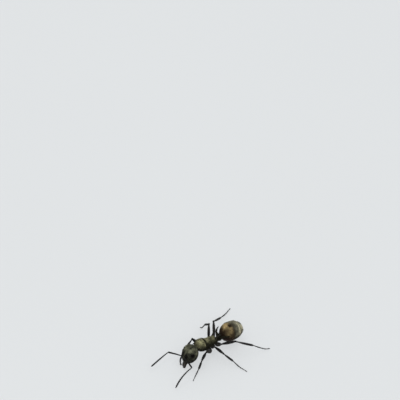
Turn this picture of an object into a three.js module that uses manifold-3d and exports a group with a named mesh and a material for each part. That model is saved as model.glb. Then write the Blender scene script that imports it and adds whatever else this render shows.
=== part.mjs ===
// A worker of the black spiny weaver ant, standing with its head bowed and its feelers spread.
// Millimetres, +Z up. The head is toward -Y and the ant's left side is +X. The feet rest on Z = 0.
import * as THREE from 'three';
import { mergeVertices } from 'three/addons/utils/BufferGeometryUtils.js';
import Module from 'manifold-3d';

const wasm = await Module();
wasm.setup();

// Clearance between neighbouring plates, and the balls that the leg joints turn on.
const GAP = 0.03;
const JOINT_BALL = 0.14;

// Trunk: where its plates part, counted from the trunk's middle, and how they lean.
const TRUNK_FRONT = -1.14;
const PRONOTUM_END = -0.40;
const MESONOTUM_END = 0.20;
const TRUNK_END = 1.14;
const SUTURE_LEAN = 0.22;
const LEAN_FADE = 0.30;
const TRUNK_AXIS = 1.62;

// The front of the trunk is turned a little to the ant's right and up, from the mesonotum forward.
const BEND_START = 0.10;
const BEND_LENGTH = 0.90;
const BEND_ASIDE = -0.14;
const BEND_UP = 0.08;

// Neck: a short tube from the pronotum up into the back of the head.
const NECK = { place: [-0.10, -1.24, 1.80], length: 0.50, front: 0.17, rear: 0.20, rise: 20 };

// Petiole: the one-piece waist, with a tall node.
const WAIST_FRONT = 1.19;
const WAIST_END = 1.72;

// Gaster: the round hind body.
const GASTER_CENTRE = new THREE.Vector3(0, 2.87, 1.55);
const GASTER_LENGTH = 2.22;
const GASTER_WIDTH = 1.82;
const GASTER_HEIGHT = 1.66;
const GASTER_SUTURES = [-1, -0.24, 0.40, 0.76, 1];

// Head, and how it is held: bowed, turned a little and rolled a little to its right.
const HEAD_CENTRE = new THREE.Vector3(-0.04, -1.87, 1.44);
const HEAD_LENGTH = 1.80;
const HEAD_WIDTH = 1.53;
const HEAD_DEPTH = 1.15;
const HEAD_BOW = 55;
const HEAD_TURN = 1.5;
const HEAD_TIP = -8;
const EYE_PLACE = new THREE.Vector3(0.65, 0.22, 0.245);
const EYE_SIZE = new THREE.Vector3(0.13, 0.20, 0.165);
const SOCKET_PLACE = new THREE.Vector3(0.22, -0.40, 0.555);
const MANDIBLE_LENGTH = 0.60;
const MANDIBLE_WIDTH = 0.30;
const MANDIBLE_THICK = 0.20;

// Feelers: a stiff scape to the elbow, then a curved funiculus.
const SCAPE_LENGTH = 1.65;
const SCAPE_RADIUS = 0.22;
const FUNICULUS_RADIUS = 0.225;
const FEELERS = {
  left: { turn: 76, lift: 12, bend: [1.26, -3.85, 1.25], tip: [1.98, -4.90, 0.52] },
  right: { turn: -75, lift: -17, bend: [-1.58, -4.06, 1.02], tip: [-1.50, -5.14, 0.73] },
};

// Legs: coxa radius and lengths of each pair, and the turn from straight ahead and the lift of each piece.
const LEG_SIZES = {
  fore: { coxaRadius: 0.27, femur: 1.45, tibia: 1.27, tarsus: 1.49 },
  mid: { coxaRadius: 0.20, femur: 1.70, tibia: 1.40, tarsus: 1.60 },
  hind: { coxaRadius: 0.24, femur: 1.86, tibia: 1.90, tarsus: 2.10 },
};
const LEGS = {
  fore_left: { root: [0.46, 0.03, 1.22], hip: [0.34, -0.25, 1.03], turns: [36, -57, 32], lifts: [14, -76] },
  fore_right: { root: [-0.36, -0.50, 1.38], hip: [-0.60, -0.22, 1.05], turns: [-15, -17, 30], lifts: [57, -56] },
  mid_left: { root: [0.20, 0.40, 1.28], hip: [0.27, 0.70, 1.08], turns: [82, 151, 107], lifts: [18, -51] },
  mid_right: { root: [-0.25, 0.18, 1.28], hip: [-0.42, 0.6, 1.06], turns: [-129, -107, -104], lifts: [47, -45] },
  hind_left: { root: [0.22, 0.84, 1.28], hip: [0.43, 1.32, 1.10], turns: [114, 156, 170], lifts: [36, -29] },
  hind_right: { root: [-0.22, 0.84, 1.28], hip: [-0.42, 1.25, 1.05], turns: [-126, -151, -155], lifts: [19, -33] },
};
const LIMB_SIDES = 10;
const JOINT_RADIUS = 0.10;
const FEMUR_RADIUS = 0.26;
const TIBIA_RADIUS = 0.23;
const TARSUS_RADIUS = 0.225;
const FOOT_HEIGHT = 0.06;

// Spines, each a bent cone: root radius, root, middle and tip on the left side.
const SPINES = {
  pronotum: { radius: 0.10, path: [[0.36, -0.88, 1.84], [0.48, -1.00, 1.88], [0.54, -1.20, 1.86]] },
  propodeum: { radius: 0.11, path: [[0.19, 0.80, 1.90], [0.28, 0.98, 2.22], [0.46, 1.38, 2.38]] },
  petiole: { radius: 0.11, path: [[0.12, 1.43, 1.68], [0.62, 1.40, 2.02], [0.80, 2.06, 1.96]] },
};

const degrees = THREE.MathUtils.degToRad;
const vector = (xyz) => new THREE.Vector3(...xyz);

const finish = (colour, roughness) =>
  new THREE.MeshStandardMaterial({ color: colour, roughness, metalness: 0 });
const trunkPlate = finish(0x34342a, 0.5);
const headPlate = finish(0x3a3c34, 0.5);
const gasterPlate = finish(0x6a5c34, 0.4);
const legPlate = finish(0x1e1e1c, 0.45);
const eyeGloss = finish(0x0b0b0c, 0.2);

// A smooth curve through a few stations along the body.
function throughStations(stations, values) {
  const curve = new THREE.CubicInterpolant(Float32Array.from(stations), Float32Array.from(values), 1);
  return (y) => curve.evaluate(THREE.MathUtils.clamp(y, stations[0], stations.at(-1)))[0];
}

function closed(geometry) {
  const bare = geometry.clone();
  bare.deleteAttribute('normal');
  bare.deleteAttribute('uv');
  return mergeVertices(bare, 1e-5);
}

// Moves every corner of a geometry by a rule.
function shaped(geometry, rule) {
  const corners = geometry.attributes.position;
  const corner = new THREE.Vector3();
  for (let i = 0; i < corners.count; i += 1) {
    rule(corner.fromBufferAttribute(corners, i));
    corners.setXYZ(i, corner.x, corner.y, corner.z);
  }
  return geometry;
}

function solid(geometry) {
  const bare = closed(geometry);
  const triVerts = Uint32Array.from(bare.index.array);
  const vertProperties = Float32Array.from(bare.attributes.position.array);
  return new wasm.Manifold(new wasm.Mesh({ numProp: 3, vertProperties, triVerts }));
}

function fromSolid(body) {
  const mesh = body.getMesh();
  const geometry = new THREE.BufferGeometry();
  geometry.setAttribute('position', new THREE.BufferAttribute(mesh.vertProperties, 3));
  geometry.setIndex(new THREE.BufferAttribute(mesh.triVerts, 1));
  return geometry;
}

const joined = (...shapes) => fromSolid(shapes.map(solid).reduce((sum, next) => sum.add(next)));
const less = (shape, cutter) => fromSolid(solid(shape).subtract(solid(cutter)));

// Bends a shape that runs up +Y from 0 to its length onto a curve.
function alongCurve(geometry, length, curve) {
  return shaped(geometry, (corner) => {
    const share = THREE.MathUtils.clamp(corner.y / length, 0, 1);
    const ahead = curve.getTangent(share);
    const side = new THREE.Vector3().crossVectors(ahead, new THREE.Vector3(0, 0, 1)).normalize();
    const over = new THREE.Vector3().crossVectors(side, ahead);
    const { x, z } = corner;
    corner.copy(curve.getPoint(share)).addScaledVector(side, x).addScaledVector(over, z);
  });
}

function spine(radius, path, side) {
  const [root, middle, tip] = path.map(([x, y, z]) => {
    const bend = bendShare(y);
    return new THREE.Vector3(side * x + bend * BEND_ASIDE, y, z + bend * BEND_UP);
  });
  const curve = new THREE.QuadraticBezierCurve3(root, middle, tip);
  const length = curve.getLength();
  const cone = new THREE.CylinderGeometry(0.03, radius, length, 8, 5);
  cone.translate(0, length / 2, 0);
  return alongCurve(cone, length, curve);
}

function withSpines(plate, { radius, path }) {
  return joined(plate, spine(radius, path, 1), spine(radius, path, -1));
}

// Trunk outline: half width, top and underside at stations from the neck to the waist.
const trunkWidth = throughStations(
  [-1.14, -0.98, -0.80, -0.58, -0.25, 0.20, 0.70, 1.00, 1.14],
  [0.22, 0.38, 0.545, 0.575, 0.48, 0.38, 0.34, 0.28, 0.21],
);
const trunkTop = throughStations(
  [-1.14, -0.98, -0.70, -0.40, -0.05, 0.20, 0.55, 0.88, 1.14],
  [1.88, 2.02, 2.15, 2.20, 2.19, 2.11, 2.08, 1.98, 1.60],
);
const trunkUnderside = throughStations(
  [-1.14, -0.90, -0.50, 0.10, 0.70, 1.14],
  [1.50, 1.32, 1.16, 1.10, 1.14, 1.34],
);

// How far the bend has moved the trunk at a station, as a share from 0 to 1.
function bendShare(station) {
  return THREE.MathUtils.smoothstep(BEND_START - station, 0, BEND_LENGTH);
}

// A length of the trunk between two sutures, its ends leaning with them.
function trunkLength(from, to, rings, grow = 0) {
  const drum = new THREE.CylinderGeometry(1, 1, 1, 22, rings);
  return shaped(drum, (corner) => {
    const station = THREE.MathUtils.lerp(from, to, corner.y + 0.5);
    const top = trunkTop(station) + grow;
    const underside = trunkUnderside(station) - grow;
    const middle = (top + underside) / 2;
    const squareness = 1 - 0.12 * Math.abs(corner.x * corner.z);
    const z = middle + corner.z * (top - underside) / 2 / squareness;
    const endLean = Math.min(1, (TRUNK_END - Math.abs(station)) / LEAN_FADE);
    const bend = bendShare(station);
    corner.set(
      corner.x * (trunkWidth(station) + grow) / squareness + bend * BEND_ASIDE,
      station + SUTURE_LEAN * endLean * (z - TRUNK_AXIS),
      z + bend * BEND_UP,
    );
  });
}

function petioleNode() {
  const drum = new THREE.CylinderGeometry(1, 1, 1, 18, 7);
  const width = throughStations([0, 0.25, 0.5, 0.8, 1], [0.14, 0.24, 0.27, 0.20, 0.13]);
  const top = throughStations([0, 0.25, 0.5, 0.8, 1], [1.52, 1.78, 1.88, 1.68, 1.52]);
  const underside = throughStations([0, 0.5, 1], [1.30, 1.20, 1.28]);
  return shaped(drum, (corner) => {
    const share = corner.y + 0.5;
    const middle = (top(share) + underside(share)) / 2;
    corner.set(
      corner.x * width(share),
      THREE.MathUtils.lerp(WAIST_FRONT, WAIST_END, share),
      middle + corner.z * (top(share) - underside(share)) / 2,
    );
  });
}

// A ring of the gaster between two sutures, each given as a share of its half length.
function gasterRing(from, to, rings, grow = 0) {
  const profile = [new THREE.Vector2(0, from)];
  for (let i = 0; i <= rings; i += 1) {
    const along = Math.sin(THREE.MathUtils.lerp(Math.asin(from), Math.asin(to), i / rings));
    const across = Math.pow(1 - Math.pow(Math.abs(along), 2.15), 1 / 2.15);
    if (across > 0.01) profile.push(new THREE.Vector2(across, along));
  }
  profile.push(new THREE.Vector2(0, to));
  const ring = new THREE.LatheGeometry(profile, 26);
  return shaped(ring, (corner) => {
    const along = corner.y;
    corner.x *= (GASTER_WIDTH / 2) * (1 - 0.05 * along) + grow;
    corner.z *= (GASTER_HEIGHT / 2) * (1 - 0.06 * along) + grow;
    corner.z -= 0.10 * along * along;
    corner.y *= GASTER_LENGTH / 2 + grow;
    corner.add(GASTER_CENTRE);
  });
}

// The head in its own frame: mouth toward -Y, crown up +Z, its left +X.
const headWidth = throughStations([-1, -0.55, 0.1, 0.6, 1], [0.66, 0.86, 1, 0.98, 0.86]);
const headCrown = throughStations([-1, -0.5, 0, 0.6, 1], [0.62, 0.92, 1, 0.94, 0.8]);

function headForm(grow = 0) {
  const ball = new THREE.SphereGeometry(1, 24, 16);
  return shaped(ball, (corner) => {
    const along = corner.y;
    const round = Math.hypot(corner.x, corner.z);
    const full = Math.pow(1 - Math.pow(Math.abs(along), 2.5), 1 / 2.5);
    const swell = round > 1e-6 ? full / round : 0;
    const square = 1 + 0.16 * Math.abs(corner.x * corner.z);
    corner.x *= swell * square * (HEAD_WIDTH / 2 + grow) * headWidth(along);
    corner.z *= swell * square * (HEAD_DEPTH / 2 + grow) * headCrown(along);
    corner.y *= HEAD_LENGTH / 2 + grow;
  });
}

function eyeball(side, grow = 0) {
  const ball = new THREE.SphereGeometry(1, 12, 8);
  ball.scale(EYE_SIZE.x + grow, EYE_SIZE.y + grow, EYE_SIZE.z + grow);
  ball.rotateY(degrees(-34));
  ball.translate(EYE_PLACE.x, EYE_PLACE.y, EYE_PLACE.z);
  return side > 0 ? ball : mirrored(ball);
}

// The same shape for the other side, with its faces turned out again.
function mirrored(geometry) {
  const twin = closed(geometry);
  twin.scale(-1, 1, 1);
  const order = twin.index;
  for (let i = 0; i < order.count; i += 3) {
    const held = order.getX(i + 1);
    order.setX(i + 1, order.getX(i + 2));
    order.setX(i + 2, held);
  }
  return twin;
}

// A jaw: a curved plate, round outside and straight along the edge where it meets its twin.
function mandible(side) {
  const inner = GAP / 2;
  const plate = new THREE.Shape();
  plate.moveTo(inner, 0.06);
  plate.lineTo(inner, -MANDIBLE_LENGTH);
  plate.quadraticCurveTo(0.7 * MANDIBLE_WIDTH, -MANDIBLE_LENGTH, MANDIBLE_WIDTH, -0.4 * MANDIBLE_LENGTH);
  plate.quadraticCurveTo(1.1 * MANDIBLE_WIDTH, -0.1 * MANDIBLE_LENGTH, MANDIBLE_WIDTH, 0.06);
  plate.closePath();
  const bevel = 0.03;
  const depth = MANDIBLE_THICK - 2 * bevel;
  const block = new THREE.ExtrudeGeometry(plate, {
    depth,
    bevelThickness: bevel,
    bevelSize: bevel,
    bevelOffset: -bevel,
    bevelSegments: 1,
    curveSegments: 5,
  });
  block.translate(0, -HEAD_LENGTH / 2, -depth / 2);
  return side > 0 ? block : mirrored(block);
}

const ant = new THREE.Group();

function piece(name, geometry, material, parent = ant) {
  const mesh = new THREE.Mesh(geometry, material);
  mesh.name = name;
  parent.add(mesh);
  return mesh;
}

// Head group: everything that the head carries but the feelers, whose joints are free of it.
const head = new THREE.Group();
head.rotation.order = 'ZXY';
head.rotation.set(degrees(HEAD_BOW), degrees(HEAD_TIP), degrees(HEAD_TURN));
head.position.copy(HEAD_CENTRE);
head.updateMatrix();
ant.add(head);
const skull = less(less(headForm(), eyeball(1, GAP)), eyeball(-1, GAP));
const jaws = { left: mandible(1), right: mandible(-1) };
const headGrown = headForm(GAP);
piece('head', skull, headPlate, head);
piece('eye_left', eyeball(1), eyeGloss, head);
piece('eye_right', eyeball(-1), eyeGloss, head);
piece('mandible_left', less(jaws.left, headGrown), legPlate, head);
piece('mandible_right', less(jaws.right, headGrown), legPlate, head);
const headInBody = headForm(GAP).applyMatrix4(head.matrix);

// Trunk plates. The first carries the neck, cut to the back of the head.
const pronotum = trunkLength(TRUNK_FRONT, PRONOTUM_END - GAP / 2, 8);
const neck = new THREE.CylinderGeometry(NECK.front, NECK.rear, NECK.length, 14, 1);
neck.rotateX(degrees(90 + NECK.rise));
neck.translate(...NECK.place);
piece('pronotum', less(withSpines(joined(pronotum, neck), SPINES.pronotum), headInBody), trunkPlate);
piece('mesonotum', trunkLength(PRONOTUM_END + GAP / 2, MESONOTUM_END - GAP / 2, 6), trunkPlate);
const propodeum = trunkLength(MESONOTUM_END + GAP / 2, TRUNK_END, 9);
piece('propodeum', withSpines(propodeum, SPINES.propodeum), trunkPlate);

const gasterGrown = gasterRing(-1, 1, 14, GAP);
piece('petiole', less(withSpines(petioleNode(), SPINES.petiole), gasterGrown), trunkPlate);

for (let i = 0; i < GASTER_SUTURES.length - 1; i += 1) {
  const halfGap = GAP / GASTER_LENGTH;
  const from = GASTER_SUTURES[i] + (i > 0 ? halfGap : 0);
  const to = GASTER_SUTURES[i + 1] - (i < GASTER_SUTURES.length - 2 ? halfGap : 0);
  piece(`gaster_${i + 1}`, gasterRing(from, to, i === 0 ? 10 : 3), gasterPlate);
}

// The point that a straight piece reaches, from its turn and lift in degrees.
function reach(from, length, turn, lift) {
  const flat = length * Math.cos(degrees(lift));
  return new THREE.Vector3(
    from.x + flat * Math.sin(degrees(turn)),
    from.y - flat * Math.cos(degrees(turn)),
    from.z + length * Math.sin(degrees(lift)),
  );
}

// How far past a joint the next piece starts, so that it clears the ball and, where the limb
// folds back, the piece before it.
function startPast(before, joint, after, radius) {
  const back = new THREE.Vector3().subVectors(before, joint);
  const ahead = new THREE.Vector3().subVectors(after, joint);
  const fold = Math.min(back.angleTo(ahead), Math.PI / 2);
  return (JOINT_BALL + 1.5 * GAP + radius * Math.cos(fold)) / Math.sin(fold);
}

// A limb piece as a turned shape along +Y: a hollowed start, its thickest part, and a ball or a blunt end.
function limb(length, { start, radius, thick, end, ball = true }) {
  const hollow = Math.min(0.4 * radius, 0.35 * start);
  const profile = [
    new THREE.Vector2(0, start),
    new THREE.Vector2(radius, start - hollow),
    new THREE.Vector2(THREE.MathUtils.lerp(radius, thick, 0.7), start + 0.10),
    new THREE.Vector2(thick, start + 0.10 + 0.14 * length),
    new THREE.Vector2(THREE.MathUtils.lerp(thick, end, 0.3), length * 0.62),
    new THREE.Vector2(end, length - 0.08),
  ];
  if (ball) {
    profile.push(new THREE.Vector2(end * 0.78, length + end * 0.55));
    profile.push(new THREE.Vector2(0, length + end * 0.95));
  } else {
    profile.push(new THREE.Vector2(end * 0.8, length));
    profile.push(new THREE.Vector2(0, length));
  }
  return new THREE.LatheGeometry(profile, LIMB_SIDES);
}

// Stands a turned shape on its first joint and points it at the next.
function between(geometry, from, to) {
  const ahead = new THREE.Vector3().subVectors(to, from).normalize();
  geometry.applyQuaternion(new THREE.Quaternion().setFromUnitVectors(new THREE.Vector3(0, 1, 0), ahead));
  return geometry.translate(from.x, from.y, from.z);
}

// The lash of a feeler, from a narrow start past the elbow to a round tip.
function funiculus(curve, start) {
  const length = curve.getLength();
  const profile = [
    new THREE.Vector2(0, start),
    new THREE.Vector2(JOINT_RADIUS, start),
    new THREE.Vector2(FUNICULUS_RADIUS * 0.92, start + 0.18),
  ];
  for (let i = 1; i <= 9; i += 1) {
    const along = THREE.MathUtils.lerp(start + 0.18, length - FUNICULUS_RADIUS, i / 9);
    profile.push(new THREE.Vector2(FUNICULUS_RADIUS, along));
  }
  profile.push(new THREE.Vector2(FUNICULUS_RADIUS * 0.7, length - FUNICULUS_RADIUS * 0.3));
  profile.push(new THREE.Vector2(0, length));
  return alongCurve(new THREE.LatheGeometry(profile, LIMB_SIDES), length, curve);
}

// Trunk swollen by the gap, which trims the coxae and femora that lie against it.
const trunkGrown = trunkLength(TRUNK_FRONT, TRUNK_END, 16, GAP);

function coxa(root, hip, thick) {
  const sizes = { start: 0, radius: 0.14, thick, end: JOINT_BALL };
  return less(between(limb(root.distanceTo(hip), sizes), root, hip), trunkGrown);
}

function femur(root, hip, knee) {
  const start = startPast(root, hip, knee, JOINT_RADIUS);
  const sizes = { start, radius: JOINT_RADIUS, thick: FEMUR_RADIUS, end: JOINT_BALL };
  return less(between(limb(hip.distanceTo(knee), sizes), hip, knee), trunkGrown);
}

function tibia(hip, knee, ankle) {
  const start = startPast(hip, knee, ankle, JOINT_RADIUS);
  const sizes = { start, radius: JOINT_RADIUS, thick: TIBIA_RADIUS, end: JOINT_BALL };
  return between(limb(knee.distanceTo(ankle), sizes), knee, ankle);
}

// A foot: the tarsus runs down to the floor, and what would sink into it is flattened on it.
function tarsus(knee, ankle, toe) {
  const start = startPast(knee, ankle, toe, JOINT_RADIUS);
  const sizes = { start, radius: JOINT_RADIUS, thick: TARSUS_RADIUS, end: 0.2, ball: false };
  return shaped(between(limb(ankle.distanceTo(toe), sizes), ankle, toe), (corner) => {
    corner.z = Math.max(corner.z, 0);
  });
}

for (const [name, leg] of Object.entries(LEGS)) {
  const size = LEG_SIZES[name.split('_')[0]];
  const root = vector(leg.root);
  const hip = vector(leg.hip);
  const knee = reach(hip, size.femur, leg.turns[0], leg.lifts[0]);
  const ankle = reach(knee, size.tibia, leg.turns[1], leg.lifts[1]);
  const drop = THREE.MathUtils.radToDeg(Math.asin((ankle.z - FOOT_HEIGHT) / size.tarsus));
  const toe = reach(ankle, size.tarsus, leg.turns[2], -drop);
  piece(`coxa_${name}`, coxa(root, hip, size.coxaRadius), legPlate);
  piece(`femur_${name}`, femur(root, hip, knee), legPlate);
  piece(`tibia_${name}`, tibia(hip, knee, ankle), legPlate);
  piece(`tarsus_${name}`, tarsus(knee, ankle, toe), legPlate);
}

for (const [side, feeler] of Object.entries(FEELERS)) {
  const hand = side === 'left' ? 1 : -1;
  const socket = new THREE.Vector3(hand * SOCKET_PLACE.x, SOCKET_PLACE.y, SOCKET_PLACE.z);
  socket.applyMatrix4(head.matrix);
  const elbow = reach(socket, SCAPE_LENGTH, feeler.turn, feeler.lift);
  const scapeSizes = { start: 0.06, radius: 0.05, thick: SCAPE_RADIUS, end: JOINT_BALL };
  const scape = between(limb(SCAPE_LENGTH, scapeSizes), socket, elbow);
  piece(`scape_${side}`, less(scape, headInBody), legPlate);
  const curve = new THREE.QuadraticBezierCurve3(elbow, vector(feeler.bend), vector(feeler.tip));
  const start = startPast(socket, elbow, vector(feeler.bend), JOINT_RADIUS);
  piece(`funiculus_${side}`, funiculus(curve, start), legPlate);
}

// The origin is under the middle of the ant, on the floor.
const box = new THREE.Box3().setFromObject(ant, true);
const centre = box.getCenter(new THREE.Vector3());
ant.position.set(-centre.x, -centre.y, -box.min.z);

export default ant;
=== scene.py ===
import math

import bpy
import numpy as np
from mathutils import Matrix, Vector


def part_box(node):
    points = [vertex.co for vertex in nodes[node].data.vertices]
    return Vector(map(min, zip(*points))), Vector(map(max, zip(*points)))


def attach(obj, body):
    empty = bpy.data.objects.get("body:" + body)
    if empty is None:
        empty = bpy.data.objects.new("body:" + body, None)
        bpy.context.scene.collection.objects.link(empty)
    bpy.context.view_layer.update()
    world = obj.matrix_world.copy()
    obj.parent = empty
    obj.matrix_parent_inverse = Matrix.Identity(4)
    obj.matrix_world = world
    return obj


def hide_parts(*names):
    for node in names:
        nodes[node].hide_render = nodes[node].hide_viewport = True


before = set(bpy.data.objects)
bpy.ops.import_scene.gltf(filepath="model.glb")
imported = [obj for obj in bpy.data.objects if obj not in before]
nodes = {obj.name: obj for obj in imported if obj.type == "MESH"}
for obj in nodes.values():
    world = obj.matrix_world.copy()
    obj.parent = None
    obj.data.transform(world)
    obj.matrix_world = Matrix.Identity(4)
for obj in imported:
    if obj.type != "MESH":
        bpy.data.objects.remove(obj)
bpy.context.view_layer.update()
print("frame loaded:", len(nodes), "nodes")

# Shapes are worked out in millimetres and brought to metres when a piece is made.
millimetre = 0.001
hands = {"left": 1, "right": -1}  # the ant's own left is +X in the frames of its parts


def unit(vectors):
    vectors = np.asarray(vectors, float)
    return vectors / np.maximum(np.linalg.norm(vectors, axis=-1, keepdims=True), 1e-12)


# where things are, read from the solids
def nodePoints(name):
    points = np.array([vertex.co for vertex in nodes[name].data.vertices]) / millimetre
    return np.unique(np.round(points, 5), axis=0)


def longAxis(name, near):
    # the two ends of a limb's middle line, the one by the point near first
    points = nodePoints(name)
    middle = points.mean(0)
    along = np.linalg.svd(points - middle, full_matrices=False)[2][0]
    reach = (points - middle) @ along
    ends = [middle + along * reach.min(), middle + along * reach.max()]
    ends.sort(key=lambda end: np.linalg.norm(end - near))
    return ends


def crossing(first, second):
    # the point halfway between two lines where they pass closest
    a, b = unit(first[1] - first[0]), unit(second[1] - second[0])
    apart = first[0] - second[0]
    lean = a @ b
    spread = 1 - lean * lean
    s = (lean * (b @ apart) - a @ apart) / spread
    t = (b @ apart - lean * (a @ apart)) / spread
    return (first[0] + s * a + second[0] + t * b) / 2


def boxOf(name):
    low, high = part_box(name)
    return np.array(low) / millimetre, np.array(high) / millimetre


# The trunk's own frame: its left +X, its back +Y, and up +Z from the floor.
waistFront = 1.19
waistBox = boxOf("petiole")
trunkOrigin = np.array([(waistBox[0][0] + waistBox[1][0]) / 2, waistBox[0][1] - waistFront, 0])

# where each leg's first piece leaves the trunk, where it swells and where it ends, in the trunk's frame
coxaPlaces = {
    "fore_left": [[0.24, -0.10, 1.34], [0.44, -0.02, 1.15], [0.34, -0.25, 1.03]],
    "fore_right": [[-0.36, -0.50, 1.38], [-0.50, -0.36, 1.20], [-0.60, -0.22, 1.05]],
    "mid_left": [[0.20, 0.40, 1.28], [0.24, 0.55, 1.17], [0.27, 0.70, 1.08]],
    "mid_right": [[-0.25, 0.18, 1.28], [-0.34, 0.40, 1.16], [-0.42, 0.60, 1.06]],
    "hind_left": [[0.22, 0.84, 1.28], [0.34, 1.08, 1.18], [0.43, 1.32, 1.10]],
    "hind_right": [[-0.22, 0.84, 1.28], [-0.33, 1.05, 1.16], [-0.42, 1.25, 1.05]],
}


# The right fore foot is bowed outwards and stouter than the others.
footForm = {"fore_right": {"bow": 0.20, "stout": 1.8}}


def legChain(name):
    root, swell, hip = np.array(coxaPlaces[name]) + trunkOrigin
    femur = longAxis(f"femur_{name}", hip)
    tibia = longAxis(f"tibia_{name}", femur[1])
    tarsus = longAxis(f"tarsus_{name}", tibia[1])
    knee = crossing(femur, tibia)
    ankle = crossing(tibia, tarsus)
    return {"root": root, "swell": swell, "hip": hip, "knee": knee, "ankle": ankle, "toe": tarsus[1],
            **footForm.get(name, {"bow": 0.0, "stout": 1.0})}


legs = {name: legChain(name) for name in coxaPlaces}

# The head's own frame: its left +X, its back +Y with the mouth at -Y, and its face +Z.
eyeSeat = {"aside": 0.65, "back": 0.22, "up": 0.245, "turn": -34}
eyePlace = np.array([eyeSeat["aside"], eyeSeat["back"], eyeSeat["up"]])
eyeMiddle = {side: nodePoints(f"eye_{side}").mean(0) for side in hands}
jawMiddle = (nodePoints("mandible_left").mean(0) + nodePoints("mandible_right").mean(0)) / 2
headLeft = unit(eyeMiddle["left"] - eyeMiddle["right"])
betweenEyes = (eyeMiddle["left"] + eyeMiddle["right"]) / 2
headBack = betweenEyes - jawMiddle
headFace = unit(np.cross(headLeft, headBack))


def headAxes(guess):
    # the jaws lie on the head's long axis, which passes below the eyes
    back = np.cross(guess, headLeft)
    centre = betweenEyes - back * eyeSeat["back"] - guess * eyeSeat["up"]
    back = unit(centre - jawMiddle)
    return unit(np.cross(headLeft, back)), back, centre


for _ in range(8):
    headFace, headBack, headCentre = headAxes(headFace)
headTurn = np.stack([headLeft, headBack, headFace], axis=1)


def fromHead(points):
    return np.asarray(points, float) @ headTurn.T + headCentre


def toHead(points):
    return (np.asarray(points, float) - headCentre) @ headTurn


def fromTrunk(points):
    return np.asarray(points, float) + trunkOrigin


# ways of making shapes
def through(stations, values):
    # a smooth curve through a few stations that never overshoots them
    x, y = np.array(stations, float), np.array(values, float)
    step = np.diff(x)
    slope = np.diff(y) / step
    lean = np.zeros_like(y)
    lean[0], lean[-1] = slope[0], slope[-1]
    before, after = slope[:-1], slope[1:]
    rising = before * after > 0
    lean[1:-1][rising] = 2 * before[rising] * after[rising] / (before + after)[rising]

    def at(place):
        place = np.clip(place, x[0], x[-1])
        i = np.clip(np.searchsorted(x, place, side="right") - 1, 0, len(x) - 2)
        u = (place - x[i]) / step[i]
        return ((1 + 2 * u) * (1 - u) ** 2 * y[i] + u * u * (3 - 2 * u) * y[i + 1]
                + u * (1 - u) * step[i] * ((1 - u) * lean[i] - u * lean[i + 1]))
    return at


def ease(low, high, value):
    share = np.clip((value - low) / (high - low), 0, 1)
    return share * share * (3 - 2 * share)


def fullness(share, power):
    # the half width of a round body along its length, fuller than a ball's for a power above 2
    return (1 - np.abs(share) ** power) ** (1 / power)


def hump(distance, width=1.0):
    return np.exp(-(distance / width) ** 2)


def spread3(x, y, z):
    return np.stack(np.broadcast_arrays(x, y, z), axis=-1)


def shares(count):
    return np.linspace(0, 1, count)


def circle(count):
    return np.linspace(0, 2 * np.pi, count, endpoint=False)


def farFrom(points, centre, half=1.0):
    # how far points lie from a place, in half sizes, with both sides taken as the left one
    leftward = np.concatenate([np.abs(points[..., :1]), points[..., 1:]], axis=-1)
    return np.linalg.norm((leftward - centre) / half, axis=-1)


def ringQuads(count, around, closed=False):
    # the four-sided faces between rings of points
    rows, here = np.arange(count if closed else count - 1)[:, None], np.arange(around)
    after, following = (rows + 1) % count, (here + 1) % around
    corners = [row * around + place for row, place in ((rows, here), (rows, following), (after, following),
                                                       (after, here))]
    return np.stack(corners, axis=-1).reshape(-1, 4).tolist()


def wrap(rings):
    # a closed body from rings of points, each end drawn to its middle
    rings = np.asarray(rings, float)
    count, around = rings.shape[:2]
    points = np.vstack([rings.reshape(-1, 3), rings[0].mean(0), rings[-1].mean(0)])
    first, last, top = count * around, count * around + 1, (count - 1) * around
    pairs = [(a, (a + 1) % around) for a in range(around)]
    faces = ringQuads(count, around) + [[first, b, a] for a, b in pairs]
    return outward(points, faces + [[last, top + a, top + b] for a, b in pairs])


def outward(points, faces):
    # turns a closed body the right way out
    volume = 0
    for size in (3, 4):
        part = np.array([face for face in faces if len(face) == size])
        for k in range(1, size - 1):
            if len(part):
                a, b, c = points[part[:, 0]], points[part[:, k]], points[part[:, k + 1]]
                volume += np.einsum("ij,ij->", a, np.cross(b, c))
    return (points, faces) if volume > 0 else (points, [face[::-1] for face in faces])


def joinBodies(bodies):
    faces, start = [], 0
    for points, bodyFaces in bodies:
        faces += [[start + corner for corner in face] for face in bodyFaces]
        start += len(points)
    return np.vstack([points for points, bodyFaces in bodies]), faces


def curveThrough(points, count):
    # a smooth line through a few points, evenly stepped
    points = np.asarray(points, float)
    marks = np.concatenate([[0], np.cumsum(np.linalg.norm(np.diff(points, axis=0), axis=1))])
    fine = np.linspace(0, marks[-1], 400)
    line = np.stack([through(marks, points[:, k])(fine) for k in range(3)], axis=1)
    walked = np.concatenate([[0], np.cumsum(np.linalg.norm(np.diff(line, axis=0), axis=1))])
    even = np.linspace(0, walked[-1], count)
    return np.stack([np.interp(even, walked, line[:, k]) for k in range(3)], axis=1)


def tube(line, wide, high=None, sides=14, over=(0, 0, 1)):
    # a limb along a line. wide and high are its half sizes at each point, high along the side given by over
    line = np.asarray(line, float)
    wide = np.broadcast_to(wide, len(line))
    high = wide if high is None else np.broadcast_to(high, len(line))
    ahead = unit(np.gradient(line, axis=0))
    up = np.empty_like(line)
    up[0] = unit(np.cross(np.cross(ahead[0], over), ahead[0]))
    for k in range(1, len(line)):
        up[k] = unit(up[k - 1] - ahead[k] * (ahead[k] @ up[k - 1]))
    side = np.cross(ahead, up)
    turn = circle(sides)
    ring = line[:, None] + side[:, None] * (np.cos(turn)[None, :, None] * wide[:, None, None])
    return wrap(ring + up[:, None] * (np.sin(turn)[None, :, None] * high[:, None, None]))


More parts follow.
